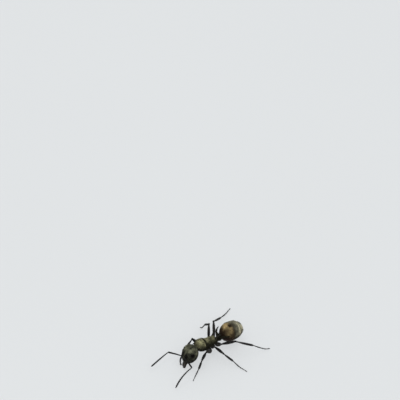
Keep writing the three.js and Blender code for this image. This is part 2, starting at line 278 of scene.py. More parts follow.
def ball(centre, half, turned=None, rows=12, sides=18):
    latitude, turn = np.linspace(0, np.pi, rows + 2)[1:-1, None], circle(sides)
    flat = np.sin(latitude)
    points, faces = wrap(spread3(flat * np.cos(turn), flat * np.sin(turn), np.cos(latitude)) * half)
    if turned is not None:
        points = points @ np.asarray(turned).T
    return points + centre, faces


def barrel(share, ends=0.12):
    # rounds the two ends of a piece, from 0 at its very ends to 1 inside
    near = np.clip(np.minimum(share, 1 - share) / ends, 0, 1)
    return np.sqrt(1 - (1 - near) ** 2)


def plainMesh(name, points, faces):
    mesh = bpy.data.meshes.new(name)
    mesh.from_pydata(np.asarray(points, float).tolist(), [], [list(face) for face in faces])
    mesh.shade_smooth()
    mesh.update()
    return mesh


def meshArrays(mesh):
    points = np.empty(len(mesh.vertices) * 3)
    mesh.vertices.foreach_get("co", points)
    return points.reshape(-1, 3), [list(polygon.vertices) for polygon in mesh.polygons]


def evaluated(name, mesh, dress):
    # the mesh that a set of modifiers makes, as a plain mesh
    holder = bpy.data.objects.new(name, mesh)
    bpy.context.scene.collection.objects.link(holder)
    dress(holder)
    made = bpy.data.meshes.new_from_object(holder.evaluated_get(bpy.context.evaluated_depsgraph_get()))
    bpy.data.objects.remove(holder)
    return made


def makePiece(name, body, material, replaces=(), furAndLight=1.0):
    # how much of the finest painted hair each point carries, more where the painted light is pale on the
    # gaster, trunk and head
    mesh = plainMesh(name, np.asarray(body[0]) * millimetre, body[1])
    values = np.array(np.broadcast_to(furAndLight, len(body[0])).astype(float))
    mesh.attributes.new("furAndLight", "FLOAT", "POINT").data.foreach_set("value", values)
    return placed(name, mesh, material, replaces)


def placed(name, mesh, material, replaces=()):
    piece = bpy.data.objects.new(name, mesh)
    bpy.context.scene.collection.objects.link(piece)
    if material:
        mesh.materials.clear()
        mesh.materials.append(material)
    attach(piece, "root")
    if replaces:
        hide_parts(*replaces)
    return piece


# gaster: four rings of plate, each lapping over the next
gasterForm = {"sutures": [-1, -0.24, 0.40, 0.76, 1], "slant": 0.24, "slantMiddle": 0.40, "fullness": 2.15,
              "taperWide": 0.05, "taperHigh": 0.06, "droop": 0.10, "lip": 0.022, "tuck": 0.07,
              "sideSeam": -0.30, "tuckDepth": 0.03, "lipSteps": 6, "around": 168}
gasterLow, gasterHigh = boxOf("gaster_1")
gasterHigh[1] = boxOf("gaster_4")[1][1]
gasterHalf, gasterCentre = (gasterHigh - gasterLow) / 2, (gasterHigh + gasterLow) / 2


def gasterSkin(along, turn, grow=0.0):
    form = gasterForm
    share = np.clip(along, -1, 1)
    across = fullness(share, form["fullness"])
    x = (gasterHalf[0] * (1 - form["taperWide"] * share) + grow) * across * np.cos(turn)
    z = (gasterHalf[2] * (1 - form["taperHigh"] * share) + grow) * across * np.sin(turn)
    z = z - form["droop"] * share ** 2
    return spread3(x, (gasterHalf[1] + grow) * share, z) + gasterCentre


def gasterGrow(along, turn):
    # the plates of the belly lie lower than those of the back, with a fold where they meet
    height = np.sin(turn) - gasterForm["sideSeam"]
    belly = -0.014 * ease(0.03, -0.03, height) - 0.012 * hump(height, 0.03)
    swell = 0.005 * np.sin(5 * along + 2 * turn) * np.cos(3 * turn)
    return belly * ease(-0.97, -0.75, along) + swell * (1 - along ** 2)


def gasterSlant(along, turn):
    # the plates' edges lie further back on top than on the sides
    return gasterForm["slant"] * (1 - along ** 2) * (np.sin(turn) - gasterForm["slantMiddle"])


def gasterRing(index):
    form = gasterForm
    first, last = form["sutures"][index], form["sutures"][index + 1]
    steps = int(24 + 60 * (last - first))
    lap = form["tuck"] if index else 0
    swings = [math.asin(np.clip(share, -0.9995, 0.9995)) for share in (first - lap, last)]
    along = list(np.sin(np.linspace(*swings, steps)))
    grow = [-form["tuckDepth"] * ease(first + 0.01, first - lap, share) if index else 0 for share in along]
    if index < len(form["sutures"]) - 2:
        for k in range(1, form["lipSteps"] + 1):
            swing = math.pi * k / form["lipSteps"]
            along.append(last + 0.004 + 0.35 * form["lip"] * math.sin(swing))
            grow.append(-form["lip"] * (1 - math.cos(swing)) / 2)
    turn = circle(form["around"])
    along, grow = np.array(along)[:, None], np.array(grow)[:, None]
    along = along + gasterSlant(along, turn)
    return wrap(gasterSkin(along, turn, grow + gasterGrow(along, turn)))


# trunk plates
trunkForm = {"ends": [-1.14, -0.40, 0.20, 1.13], "rear": 1.14, "axis": 1.62, "lean": 0.22, "leanFade": 0.30,
             "gap": 0.012, "rim": 0.014, "sink": 0.016, "around": 150,
             "bendStart": 0.10, "bendLength": 0.90, "bendAside": -0.14, "bendUp": 0.08}
trunkWidth = through([-1.14, -0.98, -0.80, -0.58, -0.25, 0.20, 0.70, 1.00, 1.14],
                     [0.22, 0.38, 0.545, 0.575, 0.48, 0.38, 0.34, 0.28, 0.21])
trunkTop = through([-1.14, -0.98, -0.70, -0.40, -0.05, 0.20, 0.55, 0.88, 1.14],
                   [1.88, 2.02, 2.15, 2.20, 2.19, 2.11, 2.08, 1.98, 1.60])
trunkUnderside = through([-1.14, -0.90, -0.50, 0.10, 0.70, 1.14], [1.50, 1.32, 1.16, 1.10, 1.14, 1.34])
spineRoots = {"pronotum": [0.36, -0.88, 1.84], "propodeum": [0.19, 0.80, 1.92], "petiole": [0.12, 1.43, 1.68]}
spinePaths = {
    "pronotum": {"radius": 0.085, "path": [[0.34, -0.85, 1.80], [0.47, -0.98, 1.77], [0.50, -1.12, 1.65]]},
    "propodeum": {"radius": 0.095, "path": [[0.18, 0.79, 1.88], [0.28, 0.98, 2.22], [0.46, 1.38, 2.38]]},
    "petiole": {"radius": 0.095, "path": [[0.10, 1.43, 1.66], [0.62, 1.40, 2.02], [0.80, 2.06, 1.96]]},
}


def trunkBend(station):
    # the front of the trunk is turned a little to the ant's right and up
    share = ease(0, trunkForm["bendLength"], trunkForm["bendStart"] - np.asarray(station))
    return share[..., None] * [trunkForm["bendAside"], 0, trunkForm["bendUp"]]


def toTrunk(points):
    # the place of points in the trunk's frame, before the trunk was bent
    place = points - trunkOrigin
    return place - trunkBend(place[:, 1])


def trunkSkin(station, turn, grow=0.0):
    top, underside = trunkTop(station) + grow, trunkUnderside(station) - grow
    squareness = 1 - 0.12 * np.abs(np.cos(turn) * np.sin(turn))
    z = (top + underside) / 2 + np.sin(turn) * (top - underside) / 2 / squareness
    x = np.cos(turn) * (trunkWidth(station) + grow) / squareness
    fade = np.clip((trunkForm["rear"] - np.abs(station)) / trunkForm["leanFade"], 0, 1)
    y = station + trunkForm["lean"] * fade * (z - trunkForm["axis"])
    return spread3(x, y, z)


def gridNormals(points):
    # normals of rings of points, read from their neighbours
    along = np.gradient(points, axis=0)
    around = np.roll(points, -1, axis=1) - np.roll(points, 1, axis=1)
    normals = unit(np.cross(around, along))
    middle = points.mean(axis=(0, 1))
    return normals if np.einsum("ijk,ijk->", normals, points - middle) > 0 else -normals


def seam(points, start, end, width, depth):
    # a groove along a straight line seen from the side, on both flanks, fading out at its ends
    a, b = np.array(start), np.array(end)
    flat = points[..., 1:3]
    share = np.clip(((flat - a) @ (b - a)) / ((b - a) @ (b - a)), 0, 1)
    away = np.linalg.norm(flat - a - share[..., None] * (b - a), axis=-1)
    return -depth * hump(away, width)


def spot(points, centre, width, height):
    return height * hump(farFrom(points, centre), width)


def pronotumRelief(points):
    station = points[..., 1]
    return (-0.022 * hump(station + 1.02, 0.03) + spot(points, spineRoots["pronotum"], 0.15, 0.03)
            + seam(points, [-0.98, 1.62], [-0.46, 1.34], 0.022, 0.022)
            + spot(points, [0.40, -0.62, 1.30], 0.16, 0.02))


def mesonotumRelief(points):
    return (seam(points, [-0.40, 1.80], [0.22, 1.70], 0.02, 0.022)
            + seam(points, [-0.05, 1.70], [-0.10, 1.15], 0.018, 0.012)
            + spot(points, [0.40, 0.05, 1.36], 0.17, 0.022))


def propodeumRelief(points):
    back = ease(0.62, 0.95, points[..., 1])
    return (-0.022 * hump(points[..., 1] - 0.33, 0.03) * ease(1.75, 1.95, points[..., 2])
            + seam(points, [0.28, 1.95], [0.52, 1.18], 0.02, 0.02)
            + seam(points, [0.52, 1.55], [1.05, 1.62], 0.018, 0.012)
            + spot(points, spineRoots["propodeum"], 0.13, 0.035)
            + spot(points, [0.30, 0.80, 1.70], 0.035, 0.022)
            - spot(points, [0.31, 0.80, 1.70], 0.014, 0.04) + spot(points, [0.28, 0.98, 1.42], 0.09, 0.03)
            - 0.03 * back * hump(points[..., 0], 0.12) * ease(1.7, 1.9, points[..., 2]))


def trunkPlate(first, last, relief, steps):
    # a plate with rounded rims between two stations of the trunk
    form = trunkForm
    share = shares(steps)
    lipped = np.concatenate([[0] * 5, share, [1] * 5])
    rim = np.linspace(0, np.pi / 2, 6)[:-1]
    sink = -form["sink"] * np.concatenate([np.cos(rim), 0 * share, np.cos(rim[::-1])])
    push = form["rim"] * np.concatenate([1 - np.sin(rim), 0 * share, np.sin(rim[::-1]) - 1])
    station = (first + (last - first) * lipped + push)[:, None]
    points = trunkSkin(station, circle(form["around"]))
    points = points + gridNormals(points) * (relief(points) + sink[:, None])[..., None]
    return wrap(fromTrunk(points + trunkBend(station)))


def spine(kind, side, count=26):
    form = spinePaths[kind]
    a, b, c = (np.array(point) * [side, 1, 1] + trunkBend(point[1]) for point in form["path"])
    t = shares(count)[:, None]
    line = (1 - t) ** 2 * a + 2 * t * (1 - t) * b + t * t * c
    t = t[:, 0]
    radius = form["radius"] * (0.16 + 0.84 * (1 - t) ** 0.8) * (1 + 0.45 * hump(t, 0.16))
    radius = radius * np.sqrt(np.clip(1 - (np.clip(t - 0.94, 0, 1) / 0.06) ** 2, 0.02, 1))
    return tube(fromTrunk(line), radius, sides=16)


petioleForm = {"front": 1.16, "end": 1.76, "around": 110, "toothSize": [0.05, 0.006],
               "tooth": [[0.05, 1.46, 1.84], [0.075, 1.48, 1.94], [0.10, 1.52, 2.00]]}
petioleWidth = through([0, 0.12, 0.35, 0.55, 0.8, 1], [0.12, 0.15, 0.25, 0.27, 0.19, 0.11])
petioleTop = through([0, 0.12, 0.32, 0.5, 0.64, 0.85, 1], [1.48, 1.54, 1.80, 1.90, 1.78, 1.58, 1.50])
petioleUnderside = through([0, 0.25, 0.5, 0.8, 1], [1.32, 1.27, 1.20, 1.24, 1.30])


def petioleBody():
    share = shares(70)[:, None]
    turn = circle(petioleForm["around"])
    top, underside = petioleTop(share), petioleUnderside(share)
    x = petioleWidth(share) * np.cos(turn) * (1 + 0.10 * np.sin(turn))
    z = (top + underside) / 2 + np.sin(turn) * (top - underside) / 2
    y = petioleForm["front"] + (petioleForm["end"] - petioleForm["front"]) * share
    points = spread3(x, y, z)
    relief = spot(points, spineRoots["petiole"], 0.12, 0.03) + spot(points, [0.06, 1.46, 1.90], 0.04, 0.03)
    points = points + gridNormals(points) * (relief * barrel(share, 0.1))[..., None]
    body = [wrap(fromTrunk(points))]
    for side in (1, -1):
        tooth = fromTrunk(curveThrough(np.array(petioleForm["tooth"]) * [side, 1, 1], 12))
        body += [spine("petiole", side), tube(tooth, np.linspace(*petioleForm["toothSize"], 12), sides=12)]
    return joinBodies(body)


# legs
legForm = {
    "coxa": {"stations": [0, 0.15, 0.5, 0.82, 1], "fore": [0.13, 0.20, 0.26, 0.17, 0.07],
             "mid": [0.10, 0.17, 0.20, 0.15, 0.08], "hind": [0.09, 0.15, 0.19, 0.15, 0.08]},
    "femur": {"stations": [0, 0.04, 0.14, 0.46, 0.72, 0.92, 0.975, 1],
              "fore": 0.125, "mid": 0.122, "hind": 0.128, "knuckle": [0.04, 0.02, 0.042],
              "shape": [0.32, 0.42, 0.62, 1.0, 0.90, 0.58, 0.60, 0.36]},
    "tibia": {"stations": [0, 0.03, 0.10, 0.45, 0.75, 0.96, 1], "fore": 0.085, "mid": 0.082, "hind": 0.088,
              "shape": [0.42, 0.62, 0.52, 0.95, 1.0, 0.88, 0.62]},
    "trochanter": {"length": 0.15, "radius": 0.066},
    "tarsus": {"lengths": [0.50, 0.14, 0.10, 0.07, 0.19], "radius": 0.046, "sag": 0.10, "floor": 0.042},
    "claw": {"length": 0.085, "radius": 0.012, "spread": 0.045},
    "spur": {"fore": {"length": 0.24, "radius": 0.024}, "rest": {"length": 0.16, "radius": 0.016}},
}


def shaft(a, b, stations, radii, sides=20, flat=0.88, count=46, bow=0.0):
    # a limb piece from a to b, its thickness through stations along it, its ends rounded in
    share = shares(count)
    line = a + (b - a) * share[:, None] + np.array([0, 0, 1]) * (bow * np.sin(np.pi * share))[:, None]
    radius = through(stations, radii)(share) * (0.05 + 0.95 * barrel(share, 0.035))
    return tube(line, radius * flat, radius, sides=sides)


def coxaBody(name):
    pair, leg, form = name.split("_")[0], legs[name], legForm["coxa"]
    line = curveThrough([leg["root"], leg["swell"], leg["hip"]], 46)
    share = shares(46)
    radius = through(form["stations"], form[pair])(share) * (0.05 + 0.95 * barrel(share, 0.06))
    return tube(line, radius * 0.94, radius, sides=28)


def femurBody(name):
    pair, leg, form = name.split("_")[0], legs[name], legForm["femur"]
    away = unit(leg["knee"] - leg["hip"])
    small = legForm["trochanter"]
    start = leg["hip"] + away * (small["length"] - 0.02)
    radii = [form[pair] * share for share in form["shape"]]
    thigh = shaft(start, leg["knee"] + away * 0.05, form["stations"], radii, sides=28, count=64, bow=0.02)
    link = shaft(leg["hip"] - away * 0.03, leg["hip"] + away * small["length"], [0, 0.3, 0.75, 1],
                 [0.05, small["radius"], small["radius"] * 0.9, 0.05], sides=20, count=22)
    side = unit(np.cross(away, [0, 0, 1]))
    aside, ahead, size = form["knuckle"]
    middles = [leg["knee"] + side * hand * aside + away * ahead for hand in (1, -1)]
    return joinBodies([link, thigh] + [ball(middle, size, rows=8, sides=14) for middle in middles])


def hook(start, ahead, side, down, length, radius, count=10):
    t = shares(count)[:, None]
    line = start + ahead * length * t + side * t + down * t * t
    return tube(line, radius * (1 - 0.85 * t[:, 0]), sides=8)


def tibiaBody(name):
    # the shin, with a spur at its end that lies along the foot
    pair, leg, form = name.split("_")[0], legs[name], legForm["tibia"]
    away = unit(leg["ankle"] - leg["knee"])
    radii = [form[pair] * share for share in form["shape"]]
    shin = shaft(leg["knee"] + away * 0.015, leg["ankle"] + away * 0.01, form["stations"], radii,
                 sides=24, count=56, bow=-0.012)
    foot = unit(leg["toe"] - leg["ankle"])
    under = unit(np.cross(np.cross(away, foot), away))
    spur = legForm["spur"]["fore" if pair == "fore" else "rest"]
    root = leg["ankle"] - away * 0.03 + under * 0.05
    return joinBodies([shin, hook(root, unit(away + 1.6 * foot), under * 0.03, foot * 0.03, **spur)])


def alongLine(line, inside):
    # the points of a line at given shares of its own points
    marks = shares(len(line))
    return np.stack([np.interp(inside, marks, line[:, axis]) for axis in range(3)], axis=1)


def tarsusLine(leg, count=60):
    form = legForm["tarsus"]
    toe = leg["toe"].copy()
    toe[2] = form["floor"] + 0.016 * (leg["stout"] - 1)
    ankle = leg["ankle"]
    bend = ankle + (toe - ankle) * 0.60
    bend[2] = max(ankle[2] * 0.34 - form["sag"] * 0.5, form["floor"] + 0.05)
    near = ankle + (toe - ankle) * 0.80
    near[2] = form["floor"] + 0.015 + 0.08 * ankle[2]
    aside = unit(np.cross(toe - ankle, [0, 0, 1])) * leg["bow"]
    return curveThrough([ankle, bend + aside, near + aside * 0.7, toe], count)


def tarsusBody(name):
    leg, form = legs[name], legForm["tarsus"]
    line, bodies, start = tarsusLine(leg), [], 0.0
    lastJoint = len(form["lengths"]) - 1
    for k, length in enumerate(form["lengths"]):
        inside = np.linspace(start + 0.002, start + length - 0.002, 24 if k in (0, lastJoint) else 12)
        place = shares(len(inside))
        radius = form["radius"] * leg["stout"] * (1 - 0.06 * k) * (0.62 + 0.38 * ease(0, 0.9, place))
        if k == lastJoint:
            radius = form["radius"] * leg["stout"] * (0.42 + 0.42 * ease(0.1, 0.85, place))
        bodies.append(tube(alongLine(line, inside), radius * (0.15 + 0.85 * barrel(place, 0.08)), sides=14))
        start += length
    toe, claw = line[-1], legForm["claw"]
    ahead = unit((line[-1] - line[-6]) * [1, 1, 0])
    side = np.cross(ahead, [0, 0, 1])
    for hand in (1, -1):
        bodies.append(hook(toe - ahead * 0.02 + side * hand * 0.012, ahead, side * hand * claw["spread"],
                           np.array([0, 0, 0.006 - toe[2]]), claw["length"], claw["radius"]))
    bodies.append(ball(toe + ahead * 0.012 - [0, 0, 0.01], np.array([0.02, 0.02, 0.014]), rows=6, sides=10))
    return joinBodies(bodies)


# head
headForm = {"long": 1.80, "wide": 1.53, "deep": 1.15, "fullness": 2.5, "squareness": 0.16,
            "rows": 150, "around": 260, "crowding": 0.45}
headWide = through([-1, -0.55, 0.1, 0.6, 1], [0.66, 0.86, 1.01, 1.02, 0.88])
headHigh = through([-1, -0.5, 0, 0.6, 1], [0.62, 0.92, 1, 0.94, 0.8])
socketPlace = {"aside": 0.22, "along": -0.40, "up": 0.555, "ring": 0.066, "thick": 0.018}
clypeusForm = {"back": -0.47, "front": -0.88, "backHalf": 0.18, "sideHalf": 0.38, "rise": 0.022}


def headSkin(along, turn):
    form = headForm
    full = fullness(along, form["fullness"])
    x, z = full * np.cos(turn), full * np.sin(turn)
    square = 1 + form["squareness"] * np.abs(x * z)
    return spread3(x * square * form["wide"] / 2 * headWide(along), along * form["long"] / 2,
                   z * square * form["deep"] / 2 * headHigh(along))


def clypeusEdge(points):
    # how far inside the clypeus a point of the face lies
    x, y = np.abs(points[..., 0]), points[..., 1]
    form = clypeusForm
    share = np.clip((y - form["front"]) / (form["back"] - form["front"]), 0, 1)
    half = form["sideHalf"] * (1 - share ** 3) + form["backHalf"] * share ** 3 - 0.10 * (1 - share) ** 2
    return np.minimum(half - x, form["back"] - 0.10 * hump(x, 0.10) - y)


fossaForm = {"front": -0.58, "back": 0.04}
fossaMiddle = through([-0.62, -0.40, -0.15, 0.08], [0.17, 0.235, 0.245, 0.205])
fossaWidth = through([-0.62, -0.40, -0.15, 0.08], [0.06, 0.11, 0.115, 0.06])


def fossa(x, y):
    # how far in the groove beside the raised lobe, which holds a feeler's root, a point lies
    beyond = np.maximum(np.maximum(fossaForm["front"] - y, y - fossaForm["back"]), 0)
    return hump(np.hypot((x - fossaMiddle(y)) / fossaWidth(y), beyond / 0.06), 1.0)


def headRelief(points):
    x, y, z = np.abs(points[..., 0]), points[..., 1], points[..., 2]
    face = ease(0.05, 0.25, z)
    inside = clypeusEdge(points)
    form = clypeusForm
    relief = face * (form["rise"] * ease(-0.01, 0.05, inside) - 0.016 * hump(inside, 0.016))
    relief += face * 0.018 * hump(points[..., 0], 0.022) * ease(-0.02, 0.05, inside)
    relief -= 0.09 * fossa(x, y) * face
    relief += 0.030 * hump(x, 0.09) * hump(y + 0.28, 0.26) * face
    relief -= 0.010 * hump(points[..., 0], 0.012) * ease(-0.02, 0.08, y) * ease(0.5, 0.3, y) * face
    eye = farFrom(points, eyePlace + [0.01, 0, 0], [0.20, 0.25, 0.22])
    relief += 0.014 * hump(eye - 1.0, 0.25) - 0.02 * ease(0.95, 0.7, eye)
    relief -= 0.014 * ease(1.1, 0.3, farFrom(points, [0.55, -0.40, 0.15], [0.2, 0.25, 0.3]))
    throat = ease(-0.05, -0.3, z)
    relief -= throat * 0.012 * hump(points[..., 0], 0.02) * ease(-0.55, -0.35, y) * ease(0.6, 0.4, y)
    mouth = np.hypot(points[..., 0] / 0.26, (y + 0.70) / 0.22)
    relief -= throat * 0.10 * ease(1.0, 0.7, mouth)
    collar = np.abs(np.hypot(points[..., 0], z + 0.36) - 0.17)
    relief += 0.03 * ease(0.12, 0.0, collar) * ease(0.5, 0.62, y) * (z < 0)
    return relief


def headBody():
    form = headForm
    latitude = np.linspace(0, np.pi, form["rows"] + 2)[1:-1]
    along = -np.sign(np.cos(latitude)) * np.abs(np.cos(latitude)) ** 0.9
    even = circle(form["around"])
    turn = even + form["crowding"] * np.cos(even)  # more points on the face
    points = headSkin(along[:, None], turn)
    points = points + gridNormals(points) * headRelief(points)[..., None]
    return wrap(fromHead(points))


def onHead(x, y):
    # a point on the face side of the head, given across and along
    along = np.clip(y / (headForm["long"] / 2), -1, 1)
    full = fullness(along, headForm["fullness"])
    aside = np.clip(x / (headForm["wide"] / 2 * float(headWide(along)) * full), -0.99, 0.99)
    point = headSkin(np.array(along), np.array(math.acos(aside)))
    return np.array([x, y, point[2]])


carinaForm = {"path": [[0.07, -0.58], [0.115, -0.48], [0.165, -0.36], [0.16, -0.18], [0.13, 0.0],
                       [0.13, 0.15]],
              "height": [0.02, 0.045, 0.075, 0.055, 0.035, 0.012], "thick": 0.020}


def carina(side):
    # the raised lobe that shelters a feeler's socket
    spots = np.array([onHead(side * x, y) for x, y in carinaForm["path"]])
    line = curveThrough(spots, 40)
    share = shares(40)
    high = through(shares(6), carinaForm["height"])(share)
    lean = unit([side * 0.75, 0, 1])
    line = line + lean * (high * 0.35)[:, None]
    thick = carinaForm["thick"] * (0.2 + 0.8 * barrel(share, 0.15))
    high = high * (0.2 + 0.8 * barrel(share, 0.1))
    return tube(fromHead(line), thick, high, sides=14, over=headTurn @ lean)


def socketRing(side, around=28, section=10):
    form = socketPlace
    centre = np.array([side * form["aside"], form["along"], form["up"] - 0.055])
    turn, roll = circle(around)[:, None, None], circle(section)[None, :, None]
    out = unit([side * 0.45, -0.05, 1])
    a = unit(np.cross(out, [0, 1, 0]))
    b = np.cross(out, a)
    ring = centre + (form["ring"] + form["thick"] * np.cos(roll)) * (np.cos(turn) * a + np.sin(turn) * b)
    points = fromHead((ring + form["thick"] * np.sin(roll) * out).reshape(-1, 3))
    return outward(points, ringQuads(around, section, closed=True))


mandibleForm = {"base": -0.78, "long": 0.66, "inner": 0.002, "thick": 0.10, "teeth": 5, "toothDepth": 0.016,
                "stalk": 0.09, "droop": 0.10, "lap": 0.030}
jawEdge = through([0, 0.25, 0.45, 0.65, 0.85, 1], [0.26, 0.30, 0.31, 0.31, 0.27, 0.10])


def mandibleBody(side):
    # a curved blade, thick at its base, with teeth along the edge where it meets its twin
    form = mandibleForm
    share = shares(90)[:, None]
    turn = circle(30)
    outer = jawEdge(share)
    biting = ease(0.18, 0.28, share)
    saw = np.abs(((share - 0.30) / 0.70 * form["teeth"]) % 1 - 0.38) / 0.62
    inner = form["inner"] + (1 - biting) * form["stalk"] + biting * (form["toothDepth"] * saw - form["lap"])
    inner = np.minimum(inner, outer - 0.006)
    middle, half = (outer + inner) / 2, (outer - inner) / 2
    thick = form["thick"] * (1 - 0.62 * share) * (0.35 + 0.65 * np.sqrt(np.clip(1 - share ** 6, 0, 1)))
    x = middle + half * np.cos(turn)
    edge = np.sqrt(np.clip(0.5 + 0.5 * np.cos(turn), 0, 1))
    z = thick * np.sin(turn) * (0.35 + 0.65 * edge) + 0.02 - form["droop"] * share ** 2
    z = z + side * form["lap"] * biting
    y = form["base"] - form["long"] * share + 0.02 * np.cos(turn) * share
    return wrap(fromHead(spread3(side * x, y, z)))


# the lip and the tongue plate as lobes: middle and half size; the palps: root, way out, joints and radius
mouthForm = {
    "lobes": [([0, -0.78, -0.12], [0.17, 0.16, 0.10]), ([0, -0.66, -0.27], [0.11, 0.20, 0.07]),
              ([0, -0.88, 0.10], [0.16, 0.10, 0.05])],
    "palps": [([0.12, -0.70, -0.28], [0.30, 0.35, -0.85], [0.09, 0.12, 0.13, 0.12, 0.11, 0.10], 0.018),
              ([0.05, -0.80, -0.24], [0.12, -0.10, -0.95], [0.06, 0.07, 0.07, 0.06], 0.014)],
}


def mouthBody():
    bodies = [ball(fromHead(middle), np.array(half), headTurn) for middle, half in mouthForm["lobes"]]
    place = shares(10)
    for side in (1, -1):
        for start, way, lengths, radius in mouthForm["palps"]:
            radius = radius * (0.75 + 0.25 * place) * barrel(place * 0.96 + 0.02, 0.2)
            point, way = np.array(start) * [side, 1, 1], unit(np.array(way) * [side, 1, 1])
            for k, length in enumerate(lengths):
                line = point + way * (length * place)[:, None]
                bodies.append(tube(fromHead(line), radius, sides=10))
                point = line[-1] - way * 0.006
                way = unit(way + np.array([side * 0.04, 0.30 if k < 3 else 0.22, 0.10]))
    return joinBodies(bodies)


# feelers
feelerForm = {"scape": {"stations": [0, 0.03, 0.06, 0.10, 0.35, 0.8, 0.96, 1],
                        "radii": [0.045, 0.052, 0.034, 0.038, 0.052, 0.066, 0.068, 0.045]},
              "segments": 11, "first": 1.5, "last": 1.9, "thin": 0.044, "thick": 0.070, "elbow": 0.133}


def socketPoint(side):
    return fromHead([side * socketPlace["aside"], socketPlace["along"], socketPlace["up"] - 0.05])


def bowed(start, bend, end, count):
    t = shares(count)[:, None]
    return (1 - t) ** 2 * start + 2 * t * (1 - t) * bend + t * t * end


def lashBend(lash, elbow, tip, rounds=8, count=120):
    # the middle point of the bow that runs through a lash's solid
    bend = (elbow + tip) / 2
    for _ in range(rounds):
        line = bowed(elbow, bend, tip, count)
        nearest = np.linalg.norm(lash[:, None] - line[None], axis=-1).argmin(axis=1)
        t = (nearest / (count - 1))[:, None]
        pull = 2 * t * (1 - t)
        rest = lash - (1 - t) ** 2 * elbow - t * t * tip
        bend = (rest * pull).sum(0) / (pull ** 2).sum()
    return bend


def feelerPlaces(side):
    name = "left" if side > 0 else "right"
    scape = longAxis(f"scape_{name}", socketPoint(side))
    elbow = scape[1] - unit(scape[1] - scape[0]) * feelerForm["elbow"]
    lash = nodePoints(f"funiculus_{name}")
    away = unit(lash.mean(0) - elbow)
    tip = lash[((lash - elbow) @ away).argmax()]
    return {"socket": socketPoint(side), "elbow": elbow, "bend": lashBend(lash, elbow, tip), "tip": tip}


def scapeBody(side):
    place, form = feelerPlaces(side), feelerForm["scape"]
    return shaft(place["socket"], place["elbow"], form["stations"], form["radii"],
                 sides=22, count=70, bow=0.03, flat=0.94)


def funiculusBody(side):
    form, place = feelerForm, feelerPlaces(side)
    line = bowed(place["elbow"], place["bend"], place["tip"], 200)
    lengths = np.ones(form["segments"])
    lengths[0], lengths[-1] = form["first"], form["last"]
    edges = np.concatenate([[0], np.cumsum(lengths)]) / lengths.sum()
    bodies = []
    place = shares(16)
    for k in range(form["segments"]):
        start, end = edges[k] + 0.001, edges[k + 1] + 0.004 * (k < form["segments"] - 1)
        grown = form["thin"] + (form["thick"] - form["thin"]) * ease(0, 0.75, edges[k + 1])
        radius = grown * (0.62 + 0.38 * ease(0, 0.55, place)) * (0.25 + 0.75 * barrel(place, 0.14))
        if k == form["segments"] - 1:
            radius = grown * (0.66 + 0.34 * ease(0, 0.3, place)) * np.sqrt(np.clip(1 - place ** 2.6, 0.01, 1))
        if k == 0:
            radius = grown * (0.5 + 0.5 * ease(0, 0.7, place)) * (0.25 + 0.75 * barrel(place, 0.12))
        bodies.append(tube(alongLine(line, np.linspace(start, end, 16)), radius, sides=18))
    return joinBodies(bodies)


# joint skins: the dark soft links between the plates
linkForm = {"neck": [0.20, 0.15, 0.13], "sink": 0.035, "front": -1.05, "end": 1.06, "radius": 0.10,
            "waist": [[0, 1.00, 1.42], [0, 1.20, 1.39], [0, 1.32, 1.42]],
            "rear": [[0, 1.62, 1.42], [0, 1.80, 1.40], [0, 1.95, 1.42]]}


def linkBody():
    form = linkForm
    neckBack = fromTrunk([0, form["front"], 1.66] + trunkBend(form["front"]))
    neckFront = fromHead([0, 0.56, -0.34])
    neck = curveThrough([neckBack, (neckBack + neckFront) / 2 + [0, 0, 0.02], neckFront], 24)
    bodies = [tube(neck, through([0, 0.5, 1], form["neck"])(shares(24)), sides=24)]
    station = np.linspace(form["front"], form["end"], 60)[:, None]
    bodies.append(wrap(fromTrunk(trunkSkin(station, circle(48), -form["sink"]) + trunkBend(station))))
    for path in (form["waist"], form["rear"]):
        bodies.append(tube(curveThrough(fromTrunk(path), 16), form["radius"], sides=20))
    return joinBodies(bodies)


# materials
def feed(tree, node, feeds):
    # each input is linked to another node's output, or gets a value of its own
    for key, value in feeds.items():
        if isinstance(value, bpy.types.NodeSocket):
            tree.links.new(value, node.inputs[key])
        else:
            node.inputs[key].default_value = value


def addNode(tree, kind, feeds=None, **settings):
    made = tree.nodes.new(kind)
    for key, value in settings.items():
        setattr(made, key, value)
    feed(tree, made, feeds or {})
    return made


def maths(tree, operation, *values):
    return addNode(tree, "ShaderNodeMath", dict(enumerate(values)), operation=operation).outputs[0]


def mapped(tree, value, low, high, least=0.0, most=1.0):
    feeds = {"Value": value, "From Min": low, "From Max": high, "To Min": least, "To Max": most}
    return addNode(tree, "ShaderNodeMapRange", feeds).outputs[0]


def noise(tree, place, scale, detail, **more):
    feeds = {"Vector": place, "Scale": scale, "Detail": detail, **more}
    return addNode(tree, "ShaderNodeTexNoise", feeds).outputs["Fac"]


def nodeTree(name, kind, inputs, outputs):
    # a tree with named inputs and outputs, its inputs' values and its end
    tree = bpy.data.node_groups.new(name, kind)
    for label, socket, value in inputs:
        made = tree.interface.new_socket(label, in_out="INPUT", socket_type="NodeSocket" + socket)
        if value is not None:
            made.default_value = value
    for label, socket in outputs:
        tree.interface.new_socket(label, in_out="OUTPUT", socket_type="NodeSocket" + socket)
    return tree, addNode(tree, "NodeGroupInput").outputs, addNode(tree, "NodeGroupOutput")


